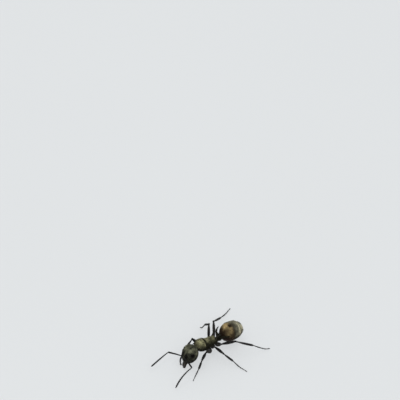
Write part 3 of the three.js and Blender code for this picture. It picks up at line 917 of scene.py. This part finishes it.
def plateGrain():
    # fine net of pits with soft unevenness under it, as on matt black plate
    tree, given, end = nodeTree("plateGrain", "ShaderNodeTree", [
        ("Vector", "Vector", None), ("Pits per mm", "Float", 42.0), ("Waves per mm", "Float", 5.0)],
        [("Height", "Float"), ("Patches", "Float")])
    place = given["Vector"]
    pits = addNode(tree, "ShaderNodeTexVoronoi", {"Vector": place, "Scale": given["Pits per mm"]},
                   feature="SMOOTH_F1")
    waves = noise(tree, place, given["Waves per mm"], 3.0, Roughness=0.55)
    coarse = maths(tree, "MULTIPLY_ADD", pits.outputs["Distance"], 0.7, waves)
    height = maths(tree, "MULTIPLY_ADD", noise(tree, place, 160.0, 1.0), 0.25, coarse)
    feed(tree, end, {"Height": height, "Patches": waves})
    return tree


def lyingDown():
    # short hair too fine to model, lying along Y of the vector it is given
    tree, given, end = nodeTree("lyingDown", "ShaderNodeTree", [
        ("Vector", "Vector", None), ("Across per mm", "Float", 60.0), ("Along per mm", "Float", 9.0)],
        [("Hair", "Float")])
    across = given["Across per mm"]
    stretch = addNode(tree, "ShaderNodeCombineXYZ", {"X": across, "Y": given["Along per mm"], "Z": across})
    scaled = addNode(tree, "ShaderNodeVectorMath", {0: given["Vector"], 1: stretch.outputs[0]},
                     operation="MULTIPLY")
    strands = noise(tree, scaled.outputs[0], 1.0, 2.0, Distortion=0.6)
    feed(tree, end, {"Hair": mapped(tree, strands, 0.42, 0.60)})
    return tree


grainGroup, downGroup = plateGrain(), lyingDown()


def newMaterial(name, roughness, **surface):
    material = bpy.data.materials.new(name)
    material.use_nodes = True
    tree = material.node_tree
    shader = tree.nodes["Principled BSDF"]
    feed(tree, shader, {"Roughness": roughness, **{key.replace("_", " "): surface[key] for key in surface}})
    return material, tree, shader


def inMillimetres(tree, turn=(0, 0, 0)):
    place = addNode(tree, "ShaderNodeTexCoord").outputs["Object"]
    feeds = {"Vector": place, "Scale": (1000, 1000, 1000), "Rotation": turn}
    return addNode(tree, "ShaderNodeMapping", feeds).outputs[0]


def mixColours(tree, factor, first, second):
    first, second = ((*colour, 1) if isinstance(colour, tuple) else colour for colour in (first, second))
    return addNode(tree, "ShaderNodeMix", {0: factor, 6: first, 7: second}, data_type="RGBA").outputs[2]


def plateMaterial(name, dark, worn, down, downShare, roughness, turn=(0, 0, 0), pits=42.0, bump=0.0016):
    # black plate, browner in patches, with the finest lying hair painted on it, thicker where the painted
    # light is pale
    material, tree, shader = newMaterial(name, roughness, Specular_IOR_Level=0.12)
    place = inMillimetres(tree, turn)
    grain = addNode(tree, "ShaderNodeGroup", {"Vector": place, "Pits per mm": pits}, node_tree=grainGroup)
    grain = grain.outputs
    hair = addNode(tree, "ShaderNodeGroup", {"Vector": place}, node_tree=downGroup).outputs["Hair"]
    plate = mixColours(tree, mapped(tree, grain["Patches"], 0.35, 0.70), dark, worn)
    furAndLight = addNode(tree, "ShaderNodeAttribute", attribute_name="furAndLight").outputs["Fac"]
    share = maths(tree, "MULTIPLY", hair, maths(tree, "MULTIPLY", furAndLight, downShare))
    height = maths(tree, "MULTIPLY_ADD", hair, 0.5 * downShare, grain["Height"])
    relief = addNode(tree, "ShaderNodeBump", {
        "Height": height, "Strength": 0.6, "Distance": bump * millimetre * 4})
    feed(tree, shader, {"Base Color": mixColours(tree, share, plate, down), "Normal": relief.outputs[0],
                        "Roughness": mapped(tree, hair, 0.0, 1.0, roughness - 0.08, roughness + 0.12)})
    return material


def hairMaterial(name, dark, pale, roughness, metallic, patch=1.4, calm=0.25):
    # each hair has its own shade, which on the gaster, trunk and head carries their painted light, and the
    # coat is paler in soft patches
    material, tree, shader = newMaterial(name, roughness, Metallic=metallic, Specular_IOR_Level=0.2)
    tone = addNode(tree, "ShaderNodeAttribute", attribute_name="tone").outputs["Fac"]
    patches = mapped(tree, noise(tree, inMillimetres(tree), patch, 3.0), 0.36, 0.62, calm, 1.35)
    feed(tree, shader, {"Base Color": mixColours(tree, maths(tree, "MULTIPLY", tone, patches), dark, pale)})
    return material


def mottledMaterial(name, roughness, scale, dark, pale, socket="Base Color", **surface):
    # two close shades in soft patches
    material, tree, shader = newMaterial(name, roughness, **surface)
    patches = noise(tree, inMillimetres(tree), scale, 2.0)
    feed(tree, shader, {socket: mixColours(tree, patches, dark, pale)})
    return material


headEuler = tuple(Matrix(headTurn.T.tolist()).to_euler())
headPlate = plateMaterial("headPlate", (0.006, 0.006, 0.005), (0.016, 0.015, 0.011),
                          (0.12, 0.115, 0.085), 0.6, 0.50, turn=headEuler)
trunkPlateFinish = plateMaterial("trunkPlate", (0.006, 0.006, 0.004), (0.016, 0.014, 0.008),
                                 (0.20, 0.185, 0.095), 0.6, 0.50)
gasterPlate = plateMaterial("gasterPlate", (0.010, 0.004, 0.004), (0.034, 0.013, 0.012),
                            (0.34, 0.26, 0.12), 0.6, 0.42, pits=55.0)
limbPlate = plateMaterial("limbPlate", (0.005, 0.005, 0.005), (0.012, 0.011, 0.010),
                          (0.05, 0.048, 0.045), 0.3, 0.42, pits=70.0, bump=0.0010)
jawPlate = plateMaterial("jawPlate", (0.006, 0.005, 0.004), (0.022, 0.012, 0.008),
                         (0.08, 0.075, 0.06), 0.25, 0.36, pits=60.0, bump=0.0008)
linkSkin = plateMaterial("linkSkin", (0.006, 0.005, 0.005), (0.018, 0.014, 0.010),
                         (0.04, 0.035, 0.02), 0.1, 0.55, pits=90.0, bump=0.0012)
# the coats' pale shades show where the painted light is palest, as in the painted highlights and glare
goldCoat = hairMaterial("goldCoat", (0.026, 0.012, 0.006), (0.70, 0.53, 0.26), 0.40, 0.30)
ashCoat = hairMaterial("ashCoat", (0.022, 0.018, 0.008), (0.88, 0.82, 0.58), 0.40, 0.30)
oliveCoat = hairMaterial("oliveCoat", (0.012, 0.011, 0.004), (0.74, 0.70, 0.40), 0.42, 0.25,
                         patch=2.4, calm=0.50)
silverCoat = hairMaterial("silverCoat", (0.014, 0.014, 0.009), (0.38, 0.38, 0.25), 0.42, 0.22, patch=2.8)
limbCoat = hairMaterial("limbCoat", (0.008, 0.008, 0.008), (0.17, 0.155, 0.140), 0.45, 0.10)
eyeFacets = mottledMaterial("eyeFacets", 0.30, 9.0, (0.001, 0.001, 0.001), (0.004, 0.003, 0.002),
                            Specular_IOR_Level=0.04)
print("materials ready:", len(bpy.data.materials))


def gasterToneAndLight(points, first, last):
    # painted light: pale on the back where the light falls and painted shade toward the sides, a painted
    # glare before each rear plate's hind edge and painted shade behind its front lip; darker also toward the
    # waist and the edges of the plates
    place = points - gasterCentre
    along = place[:, 1] / gasterHalf[1]
    turn = np.arctan2(place[:, 2] / gasterHalf[2], place[:, 0] / gasterHalf[0])
    station = along - gasterSlant(along, turn)
    over = np.sin(turn)
    if first == -1:
        rim = 0.45 - 0.37 * ease(0.80, 0.30, turn)
        edge = rim + (1 - rim) * ease(last - 0.01, last - 0.12, station)
        darkSpot = hump(np.hypot((along + 0.29) / 0.135, (turn - 1.50) / 0.26))
        edge = edge * (1 - 0.97 * np.clip(1.5 * darkSpot, 0, 1))
        far = 0.15 * ease(1.65, 2.25, turn)
        waist = 0.05 + 0.95 * ease(-0.96, -0.62, along - far)
        # paler toward the top: painted light from above
        return 1.16 * (0.06 + 0.94 * ease(0.12, 0.88, over)) * edge * waist
    # a painted glare just before each rear plate's hind edge
    glareFringe = 1 + 4.0 * hump((station - last + 0.06) / 0.07) * ease(1.7, 0.8, turn)
    start = 0.80 + 0.20 * ease(first + 0.01, first + 0.10, station)
    # painted shade just behind the lip of the plate in front
    start = start - 0.5 * ease(0.9, 0.4, turn) * hump((station - first - 0.04) / 0.06)
    return 0.54 * (0.05 + 0.95 * ease(-0.20, 0.60, over)) * glareFringe * start


def trunkToneAndLight(points):
    # painted light: a painted highlight on the first plate's middle and along its hind edge, paler on top and
    # painted shade on the flanks; darker toward the waist
    x, y, z = toTrunk(points).T
    station = y - trunkForm["lean"] * (z - trunkForm["axis"])
    high = (z - trunkForm["axis"]) / (trunkTop(station) - trunkForm["axis"])
    top = ease(0.0, 0.9, high)
    # a painted highlight on the first plate, set toward the ant's left where the light falls
    crownLight = hump(np.hypot((x - 0.12) / 0.26, (station + 0.86) / 0.155))
    # a painted highlight along the first plate's hind edge
    arcHighlight = hump((station + 0.575) / 0.045) * ease(0.2, 0.6, high)
    suture = hump((station + 0.43) / 0.085)
    # paler along the top behind the first plate: painted light from above
    ridge = ease(0.80, 0.97, high) * ease(-0.45, -0.25, station)
    waist = ease(1.20, 0.35, station)
    shade = hump((station + 0.28) / 0.15) * ease(0.95, 0.65, high)
    tone = 0.04 + 0.15 * top + 1.75 * top * crownLight + 0.70 * arcHighlight + 0.34 * ridge
    tone = tone * (1 - 0.90 * suture) * (1 - 0.85 * shade) * (0.40 + 0.60 * ease(0.15, 0.65, high))
    return np.clip(tone * (0.10 + 0.90 * waist), 0, 1.4)


def headToneAndLight(points):
    # painted light: palest on the crown and along the forehead's ridge, with painted highlights behind the
    # eyes; painted shade on the underside, around the eyes and in the grooves; darkest by the jaws
    x, y, z = toHead(points).T
    crownLight = ease(-0.20, 0.60, y)
    ridge = hump(x / 0.085) * ease(-0.62, -0.3, y) * ease(0.55, 0.3, y) * (z > 0)
    side = ease(-0.40, 0.20, z)
    # painted shade in the grooves, which also bear no hair, and around the eyes
    grooveShade = 1 - np.clip(3.0 * fossa(np.abs(x), y), 0, 1) * (z > 0)
    grooveShade = grooveShade * (1 - 0.70 * ease(1.35, 1.0, farFrom(toHead(points), eyePlace, [0.17, 0.24, 0.20])))
    # a painted highlight behind each eye
    patch = hump(np.hypot((np.abs(x) - 0.42) / 0.20, (y - 0.56) / 0.20), 1.0) * ease(-0.2, 0.1, z)
    return np.clip((0.07 + 0.52 * crownLight + 0.45 * patch + 0.45 * ridge) * (0.25 + 0.75 * side) * grooveShade, 0, 1)


# plates and limbs
sutures = gasterForm["sutures"]
gasterBodies = [gasterRing(k) for k in range(4)]
for k, body in enumerate(gasterBodies):
    makePiece(f"plate_gaster_{k + 1}", body, gasterPlate, [f"gaster_{k + 1}"],
              furAndLight=gasterToneAndLight(body[0], *sutures[k:k + 2]))
print("gaster made")

trunkParts = {"pronotum": (pronotumRelief, 54), "mesonotum": (mesonotumRelief, 48),
              "propodeum": (propodeumRelief, 66)}
trunkBodies = {}
for k, (name, (relief, steps)) in enumerate(trunkParts.items()):
    first, last = trunkForm["ends"][k:k + 2]
    body = trunkPlate(first + trunkForm["gap"] * (k > 0), last - trunkForm["gap"] * (k < 2), relief, steps)
    trunkBodies[name] = body
    spines = [spine(name, side) for side in (1, -1)] if name in spinePaths else []
    bare = [np.full(len(points), 0.08) for points, faces in spines]
    makePiece(f"plate_{name}", joinBodies([body] + spines), trunkPlateFinish, [name],
              furAndLight=np.concatenate([trunkToneAndLight(body[0])] + bare))
waist = petioleBody()
makePiece("plate_petiole", waist, trunkPlateFinish, ["petiole"], furAndLight=0.10)
makePiece("joint_skins", linkBody(), linkSkin)
print("trunk made")

legMakers = {"coxa": coxaBody, "femur": femurBody, "tibia": tibiaBody, "tarsus": tarsusBody}
limbBodies = {f"{part}_{name}": maker(name) for name in legs for part, maker in legMakers.items()}
for name, side in hands.items():
    limbBodies[f"scape_{name}"] = scapeBody(side)
    limbBodies[f"funiculus_{name}"] = funiculusBody(side)
for name, body in limbBodies.items():
    makePiece(f"limb_{name}", body, limbPlate, [name])
print("legs and feelers made")

skull = headBody()
headExtras = [carina(side) for side in (1, -1)] + [socketRing(side) for side in (1, -1)]
headFurAndLight = np.concatenate([headToneAndLight(skull[0])] + [np.full(len(points), 0.15) for points, faces in headExtras])
makePiece("plate_head", joinBodies([skull] + headExtras), headPlate, ["head"], furAndLight=headFurAndLight)
for name, side in hands.items():
    makePiece(f"jaw_{name}", mandibleBody(side), jawPlate, [f"mandible_{name}"])
makePiece("mouth_parts", mouthBody(), jawPlate)
print("head made")


# eyes
eyeForm = {"half": [0.13, 0.20, 0.165], "facets": {"Detail": 4, "Dome": 0.035, "Crown": 0.72}}


def realized(tree, geometry):
    return addNode(tree, "GeometryNodeRealizeInstances", {0: geometry}).outputs[0]


def finished(tree, geometry, given, end):
    finish = addNode(tree, "GeometryNodeSetMaterial", {"Geometry": geometry, "Material": given["Finish"]})
    feed(tree, end, {0: finish.outputs[0]})
    return tree


def facetTree():
    # a ball parted into six-sided facets, each raised to a low dome
    tree, given, end = nodeTree("facetedEye", "GeometryNodeTree", [
        ("Detail", "Int", 4), ("Dome", "Float", 0.035), ("Crown", "Float", 0.72),
        ("Finish", "Material", None)], [("Geometry", "Geometry")])
    sphere = addNode(tree, "GeometryNodeMeshIcoSphere", {"Subdivisions": given["Detail"]})
    facets = addNode(tree, "GeometryNodeDualMesh", {"Mesh": sphere.outputs["Mesh"]})
    raised = addNode(tree, "GeometryNodeExtrudeMesh", {
        "Mesh": facets.outputs[0], "Offset Scale": given["Dome"], "Individual": True}, mode="FACES").outputs
    crowned = addNode(tree, "GeometryNodeScaleElements", {
        "Geometry": raised["Mesh"], "Selection": raised["Top"], "Scale": given["Crown"]}, domain="FACE")
    return finished(tree, realized(tree, crowned.outputs[0]), given, end)


def nodesOn(holder, tree, values):
    modifier = holder.modifiers.new(tree.name, "NODES")
    modifier.node_group = tree
    sockets = {item.name: item.identifier for item in tree.interface.items_tree if item.in_out == "INPUT"}
    for label, value in values.items():
        modifier[sockets[label]] = value


facetNodes = facetTree()
for name, side in hands.items():
    settings = {**eyeForm["facets"], "Finish": eyeFacets}
    made = evaluated("facets", bpy.data.meshes.new("facets"),
                     lambda holder: nodesOn(holder, facetNodes, settings))
    points, faces = meshArrays(made)
    lean = math.radians(eyeSeat["turn"]) * side
    tilt = np.array([[math.cos(lean), 0, math.sin(lean)], [0, 1, 0], [-math.sin(lean), 0, math.cos(lean)]])
    points = fromHead((points * eyeForm["half"]) @ tilt.T + eyePlace * [side, 1, 1])
    made.clear_geometry()
    made.from_pydata((points * millimetre).tolist(), [], faces)
    made.shade_smooth()
    placed(f"facets_eye_{name}", made, eyeFacets, [f"eye_{name}"])
print("eyes made")


# coat
def hairTemplate():
    # one hair a unit long and a unit wide: three-sided, arched and drawn to a point, lying along +X
    rings = [{"along": 0.0, "rise": -0.6, "size": 0.7}, {"along": 0.42, "rise": 0.9, "size": 1.0}]
    points, places = [], []
    for ring in rings:
        for across, over in ((0.5, 0.0), (-0.5, 0.0), (0.0, 0.45)):
            points.append([ring["along"], across * ring["size"], ring["rise"] + over * ring["size"]])
            places.append([across, ring["along"] * 1.3 - 0.5 + over * 0.5, 0])
    points.append([1.0, 0.0, 0.4])
    places.append([0.0, 0.5, 0])
    sides = [[a, b, b + 3, a + 3] for a, b in ((0, 1), (1, 2), (2, 0))]
    tips = [[a + 3, b + 3, 6] for a, b in ((0, 1), (1, 2), (2, 0))]
    points, faces = outward(np.array(points), sides + tips + [[0, 2, 1]])
    mesh = plainMesh("hair", points, faces)
    mesh.attributes.new("hairPlace", "FLOAT_VECTOR", "POINT").data.foreach_set("vector", np.ravel(places))
    template = bpy.data.objects.new("hair", mesh)
    bpy.context.scene.collection.objects.link(template)
    return template


def coatTree():
    # hairs set over a plate by its own marks, which coatMarks names
    tree, given, end = nodeTree("lyingCoat", "GeometryNodeTree", [
        ("Geometry", "Geometry", None), ("Hair", "Object", None), ("Hairs per mm2", "Float", 1000.0),
        ("Length", "Float", 0.14), ("Width", "Float", 0.014), ("Unevenness", "Float", 0.3),
        ("Lift", "Float", 0.1), ("Swirl", "Float", 0.25), ("Seed", "Int", 1), ("Patch", "Float", 0.003),
        ("Finish", "Material", None)], [("Geometry", "Geometry")])

    def mark(label, kind="FLOAT"):
        named = addNode(tree, "GeometryNodeInputNamedAttribute", {"Name": label}, data_type=kind)
        return named.outputs["Attribute"]

    def times(first, second):
        return maths(tree, "MULTIPLY", first, second)

    def chance(low, high, seedShift):
        feeds = {2: low, 3: high, "Seed": maths(tree, "ADD", given["Seed"], seedShift)}
        return addNode(tree, "FunctionNodeRandomValue", feeds, data_type="FLOAT").outputs[1]

    def stored(geometry, label, value, kind, domain):
        return addNode(tree, "GeometryNodeStoreNamedAttribute", {
            "Geometry": geometry, "Name": label, "Value": value}, data_type=kind, domain=domain).outputs[0]

    scattered = addNode(tree, "GeometryNodeDistributePointsOnFaces", {
        "Mesh": given["Geometry"], "Density": times(given["Hairs per mm2"], mark("hairShare")),
        "Seed": given["Seed"]}, distribute_method="RANDOM").outputs
    tone = times(mark("hairTone"), chance(0.45, 1.0, 11))
    toned = stored(scattered["Points"], "tone", tone, "FLOAT", "POINT")
    standing = addNode(tree, "FunctionNodeAxesToRotation", {
        "Primary Axis": scattered["Normal"], "Secondary Axis": mark("lie", "FLOAT_VECTOR")},
        primary_axis="Z", secondary_axis="X")
    wander = addNode(tree, "ShaderNodeCombineXYZ", {
        "Y": times(given["Lift"], chance(-1.6, -0.3, 23)), "Z": times(given["Swirl"], chance(-1.0, 1.0, 37))})
    wandering = addNode(tree, "FunctionNodeEulerToRotation", {0: wander.outputs[0]})
    turned = addNode(tree, "FunctionNodeRotateRotation", {0: standing.outputs[0], 1: wandering.outputs[0]},
                     rotation_space="LOCAL")
    least, most = (maths(tree, operation, 1.0, given["Unevenness"]) for operation in ("SUBTRACT", "ADD"))
    size = times(mark("hairSize"), chance(least, most, 41))
    wide = times(given["Width"], maths(tree, "POWER", size, 0.5))
    scale = addNode(tree, "ShaderNodeCombineXYZ", {"X": times(given["Length"], size), "Y": wide, "Z": wide})
    template = addNode(tree, "GeometryNodeObjectInfo", {"Object": given["Hair"]}, transform_space="ORIGINAL")
    planted = addNode(tree, "GeometryNodeInstanceOnPoints", {
        "Points": toned, "Instance": template.outputs["Geometry"], "Rotation": turned.outputs[0],
        "Scale": scale.outputs[0]})
    whole = realized(tree, planted.outputs[0])
    patch = addNode(tree, "ShaderNodeVectorMath", {
        0: mark("hairPlace", "FLOAT_VECTOR"), "Scale": given["Patch"]}, operation="SCALE")
    place = addNode(tree, "ShaderNodeVectorMath", {
        0: mark("skinPlace", "FLOAT_VECTOR"), 1: patch.outputs[0]}, operation="ADD")
    return finished(tree, stored(whole, "OFBake", place.outputs[0], "FLOAT2", "CORNER"), given, end)


hairShape = hairTemplate()
coatNodes = coatTree()


def coat(name, skins, settings):
    # skins: a body with its marks, each mark one value or one vector for each point
    mesh = plainMesh(name, *joinBodies([body for body, marks in skins]))
    marked = list(skins[0][1])
    for key in marked:
        values = np.concatenate([marks[key] for body, marks in skins])
        kind, field = ("FLOAT_VECTOR", "vector") if values.ndim == 2 else ("FLOAT", "value")
        mesh.attributes.new(key, kind, "POINT").data.foreach_set(field, np.ravel(values))
    made = evaluated(name, mesh, lambda holder: nodesOn(holder, coatNodes, {"Hair": hairShape, **settings}))
    for key in marked + ["hairPlace"]:
        if key in made.attributes:
            made.attributes.remove(made.attributes[key])
    made.transform(Matrix.Scale(millimetre, 4))
    made.name = name
    triangles = sum(len(polygon.vertices) - 2 for polygon in made.polygons)
    print(name, "hairs:", len(made.vertices) // 7, "triangles:", triangles)
    return placed(name, made, None)


def coatMarks(lie, share, size, tone, across, along):
    # across and along, from 0 to 1, are a point's place on the flat bake map
    return {"lie": lie, "hairShare": share, "hairSize": size, "hairTone": tone,
            "skinPlace": spread3(across, along, 0.0)}


def gasterMarks(points, front, last):
    place = points - gasterCentre
    along = place[:, 1] / gasterHalf[1]
    turn = np.arctan2(place[:, 2], place[:, 0])
    station = along - gasterSlant(along, turn)
    high = place[:, 2] / gasterHalf[2]
    across = np.hypot(place[:, 0] / gasterHalf[0], high)
    shown = ease(front - 0.05, front + 0.01, station) * ease(0.02, 0.10, across)
    tone = gasterToneAndLight(points, max(front, -1), last)
    # fewer hairs where the painted light is dark, which deepens the painted shade, and fewer low on the sides
    share = shown * (0.25 + 0.75 * ease(-0.6, 0.35, high)) * (0.35 + 0.65 * ease(0.0, 0.25, tone))
    lie = spread3(-0.25 * place[:, 0] * ease(-0.2, 0.6, high), 1.0, -0.10)
    return coatMarks(lie, share, 0.75 + 0.25 * ease(-1, 0.2, high), tone, turn / (2 * np.pi) + 0.5,
                     0.02 + 0.96 * (along + 1) / 2)


gasterHair = {"Hairs per mm2": 2500.0, "Length": 0.15, "Width": 0.0150, "Lift": 0.10, "Swirl": 0.30}
coat("coat_gaster_front", [(gasterBodies[0], gasterMarks(gasterBodies[0][0], -1.1, sutures[1]))],
     {**gasterHair, "Seed": 3, "Finish": goldCoat})
coat("coat_gaster_rear", [(gasterBodies[k], gasterMarks(gasterBodies[k][0], sutures[k], sutures[k + 1]))
                          for k in (1, 2, 3)], {**gasterHair, "Seed": 5, "Finish": ashCoat})


def trunkMarks(points, column, share=1.0):
    x, y, z = toTrunk(points).T
    high, top = z - trunkForm["axis"], ease(1.15, 1.7, z)
    return coatMarks(spread3(0.25 * np.sign(x), 1.0, -0.25),
                     share * (0.35 + 0.65 * top) * ease(0.05, 0.15, np.hypot(x, high)), 0.8 + 0.2 * top,
                     trunkToneAndLight(points), column + 0.24 * (np.arctan2(high, x) / (2 * np.pi) + 0.5),
                     0.05 + 0.9 * (y + 1.3) / 3.2)


trunkHair = {"Hairs per mm2": 2400.0, "Length": 0.12, "Width": 0.0135, "Lift": 0.12, "Swirl": 0.45,
             "Finish": oliveCoat}
coat("coat_trunk_front", [(trunkBodies[name], trunkMarks(trunkBodies[name][0], column))
                          for name, column in (("pronotum", 0.0), ("mesonotum", 0.5))],
     {**trunkHair, "Seed": 7})
coat("coat_trunk_rear", [(trunkBodies["propodeum"], trunkMarks(trunkBodies["propodeum"][0], 0.0)),
                         (waist, trunkMarks(waist[0], 0.5, share=0.55))],
     {**trunkHair, "Seed": 9})


def headMarks(points):
    place = toHead(points)
    x, y, z = place.T
    eye = farFrom(place, eyePlace, [0.17, 0.23, 0.20])
    share = ease(0.85, 1.1, eye) * (1 - 0.95 * np.clip(1.5 * fossa(np.abs(x), y), 0, 1) * (z > 0))
    share = share * (0.45 + 0.55 * ease(-0.45, -0.1, z)) * ease(-0.90, -0.74, y)
    lie = spread3(-0.35 * np.sign(x) * ease(0, 0.2, np.abs(x)), -1.0, 0 * x) @ headTurn.T
    return coatMarks(lie, share, 0.60 + 0.40 * ease(-0.5, 0.4, y), headToneAndLight(points),
                     np.arctan2(x, z) / (2 * np.pi) + 0.5, 0.05 + 0.9 * (y / headForm["long"] + 0.5))


headHair = {"Hairs per mm2": 2900.0, "Length": 0.115, "Width": 0.0120, "Lift": 0.11, "Swirl": 0.40,
            "Finish": silverCoat}
coat("coat_head", [(skull, headMarks(skull[0]))], {**headHair, "Seed": 13})


def limbMarks(points, start, end, column, columns, size, tone):
    away = unit(end - start)
    place = points - start
    along = place @ away / np.linalg.norm(end - start)
    side = unit(np.cross(away, [0, 0, 1]))
    turn = np.arctan2(place @ np.cross(side, away), place @ side)
    clear = ease(0.06, 0.12, points[:, 2])  # no hairs where they would reach the floor
    share = ease(-0.05, 0.04, along) * ease(1.05, 0.97, along) * clear
    return coatMarks(np.broadcast_to(away, points.shape), share, np.full(len(points), size),
                     np.full(len(points), tone), (column + 0.1 + 0.8 * (turn / (2 * np.pi) + 0.5)) / columns,
                     0.04 + 0.92 * np.clip(along, 0, 1))


limbEnds = {"coxa": ("root", "hip"), "femur": ("hip", "knee"), "tibia": ("knee", "ankle"),
            "tarsus": ("ankle", "toe"), "scape": ("socket", "elbow"), "funiculus": ("elbow", "tip")}
# the left coxae, on the lit side, get paler hair than the right ones: a painted highlight
limbLightTones = {"coxa_fore_left": 1.0, "coxa_mid_left": 0.5, "coxa_hind_left": 0.4}
limbHair = {"Hairs per mm2": 1500.0, "Length": 0.085, "Width": 0.0105, "Lift": 0.16, "Swirl": 0.25,
            "Finish": limbCoat}


def limbSkins(names):
    skins = []
    for column, name in enumerate(names):
        part, rest = name.split("_", 1)
        places = legs[rest] if rest in legs else feelerPlaces(hands[rest])
        start, end = (places[key] for key in limbEnds[part])
        size = 0.8 if part in ("tarsus", "funiculus") else 1.0
        marks = limbMarks(limbBodies[name][0], start, end, column, len(names), size, limbLightTones.get(name, 0.3))
        skins.append((limbBodies[name], marks))
    return skins


for pair in ("fore", "mid", "hind"):
    coat(f"coat_legs_{pair}", limbSkins([name for name in limbBodies if pair in name]),
         {**limbHair, "Seed": 17 + len(pair)})
coat("coat_feelers", limbSkins([name for name in limbBodies if name[:4] in ("scap", "funi")]),
     {**limbHair, "Hairs per mm2": 1700.0, "Length": 0.06, "Width": 0.009, "Seed": 29})
bpy.data.objects.remove(hairShape)
print("coat made")


# floor, light and camera
view = {"azimuth": 52, "elevation": 43, "distance": 300, "width": 36.36, "aside": -0.568, "above": 14.23}
bowlForm = {"flat": [0.5, 20, 80, 200, 420], "curve": 260, "wide": 680, "high": 620, "around": 96}
lights = {
    "key": {"toward": (0.26, -0.18, 0.93), "away": 450, "size": 380, "power": 0.62},
    "side": {"toward": (0.75, -0.10, 0.66), "away": 420, "size": 120, "power": 0.14},
    "fill": {"toward": (0.3, -0.9, 0.35), "away": 420, "size": 300, "power": 0.04},
}


def stageBowl():
    # a pale floor that glows softly and curves up far away, so that no edge of it shows
    form = bowlForm
    swing = np.linspace(0.1, math.pi / 2, 14)
    flat, curve = np.array(form["flat"]), form["curve"]
    radius = np.concatenate([flat, flat[-1] + curve * np.sin(swing), [form["wide"]]])[:, None]
    height = np.concatenate([0 * flat, curve * (1 - np.cos(swing)), [form["high"]]])[:, None]
    turn = circle(form["around"])
    points = spread3(radius * np.cos(turn), radius * np.sin(turn), height).reshape(-1, 3)
    faces = [quad[::-1] for quad in ringQuads(len(radius), form["around"])] + [list(range(form["around"]))]
    mesh = plainMesh("floor", (points + [*trunkOrigin[:2], 0]) * millimetre, faces)
    mesh.materials.append(mottledMaterial(
        "paleFloor", 0.75, 0.02, (0.44, 0.45, 0.455), (0.46, 0.47, 0.475), "Emission Color",
        Specular_IOR_Level=0.2, Emission_Strength=1.09, Base_Color=(0.26, 0.266, 0.27, 1)))
    floor = bpy.data.objects.new("floor", mesh)
    bpy.context.scene.collection.objects.link(floor)


def softLight(name, toward, away, size, power):
    data = bpy.data.lights.new(name, "AREA")
    data.shape = "DISK"
    data.size = size * millimetre
    data.energy = power
    light = bpy.data.objects.new(name, data)
    bpy.context.scene.collection.objects.link(light)
    light.location = Vector(toward).normalized() * away * millimetre
    light.rotation_euler = (-Vector(toward)).to_track_quat("-Z", "Y").to_euler()
    light.visible_camera = False


stageBowl()
for name, light in lights.items():
    softLight(name, **light)
world = bpy.data.worlds.new("studio")
bpy.context.scene.world = world
world.use_nodes = True
feed(world.node_tree, world.node_tree.nodes["Background"], {"Color": (0.95, 0.98, 1.0, 1), "Strength": 0.72})
bpy.context.scene.view_settings.view_transform = "Standard"

azimuth, elevation = math.radians(view["azimuth"]), math.radians(view["elevation"])
right = Vector((math.cos(azimuth), math.sin(azimuth), 0))
level = math.cos(elevation)
back = Vector((math.sin(azimuth) * level, -math.cos(azimuth) * level, math.sin(elevation)))
up = back.cross(right)
aim = Vector(trunkOrigin) + right * view["aside"] + up * view["above"]
lens = bpy.data.cameras.new("camera")
lens.sensor_width = 36
lens.lens = lens.sensor_width * view["distance"] / view["width"]
lens.clip_start, lens.clip_end = 0.01, 10
camera = bpy.data.objects.new("camera", lens)
bpy.context.scene.collection.objects.link(camera)
camera.location = (aim + back * view["distance"]) * millimetre
camera.rotation_euler = back.to_track_quat("Z", "Y").to_euler()
bpy.context.scene.camera = camera

print("scene ready")
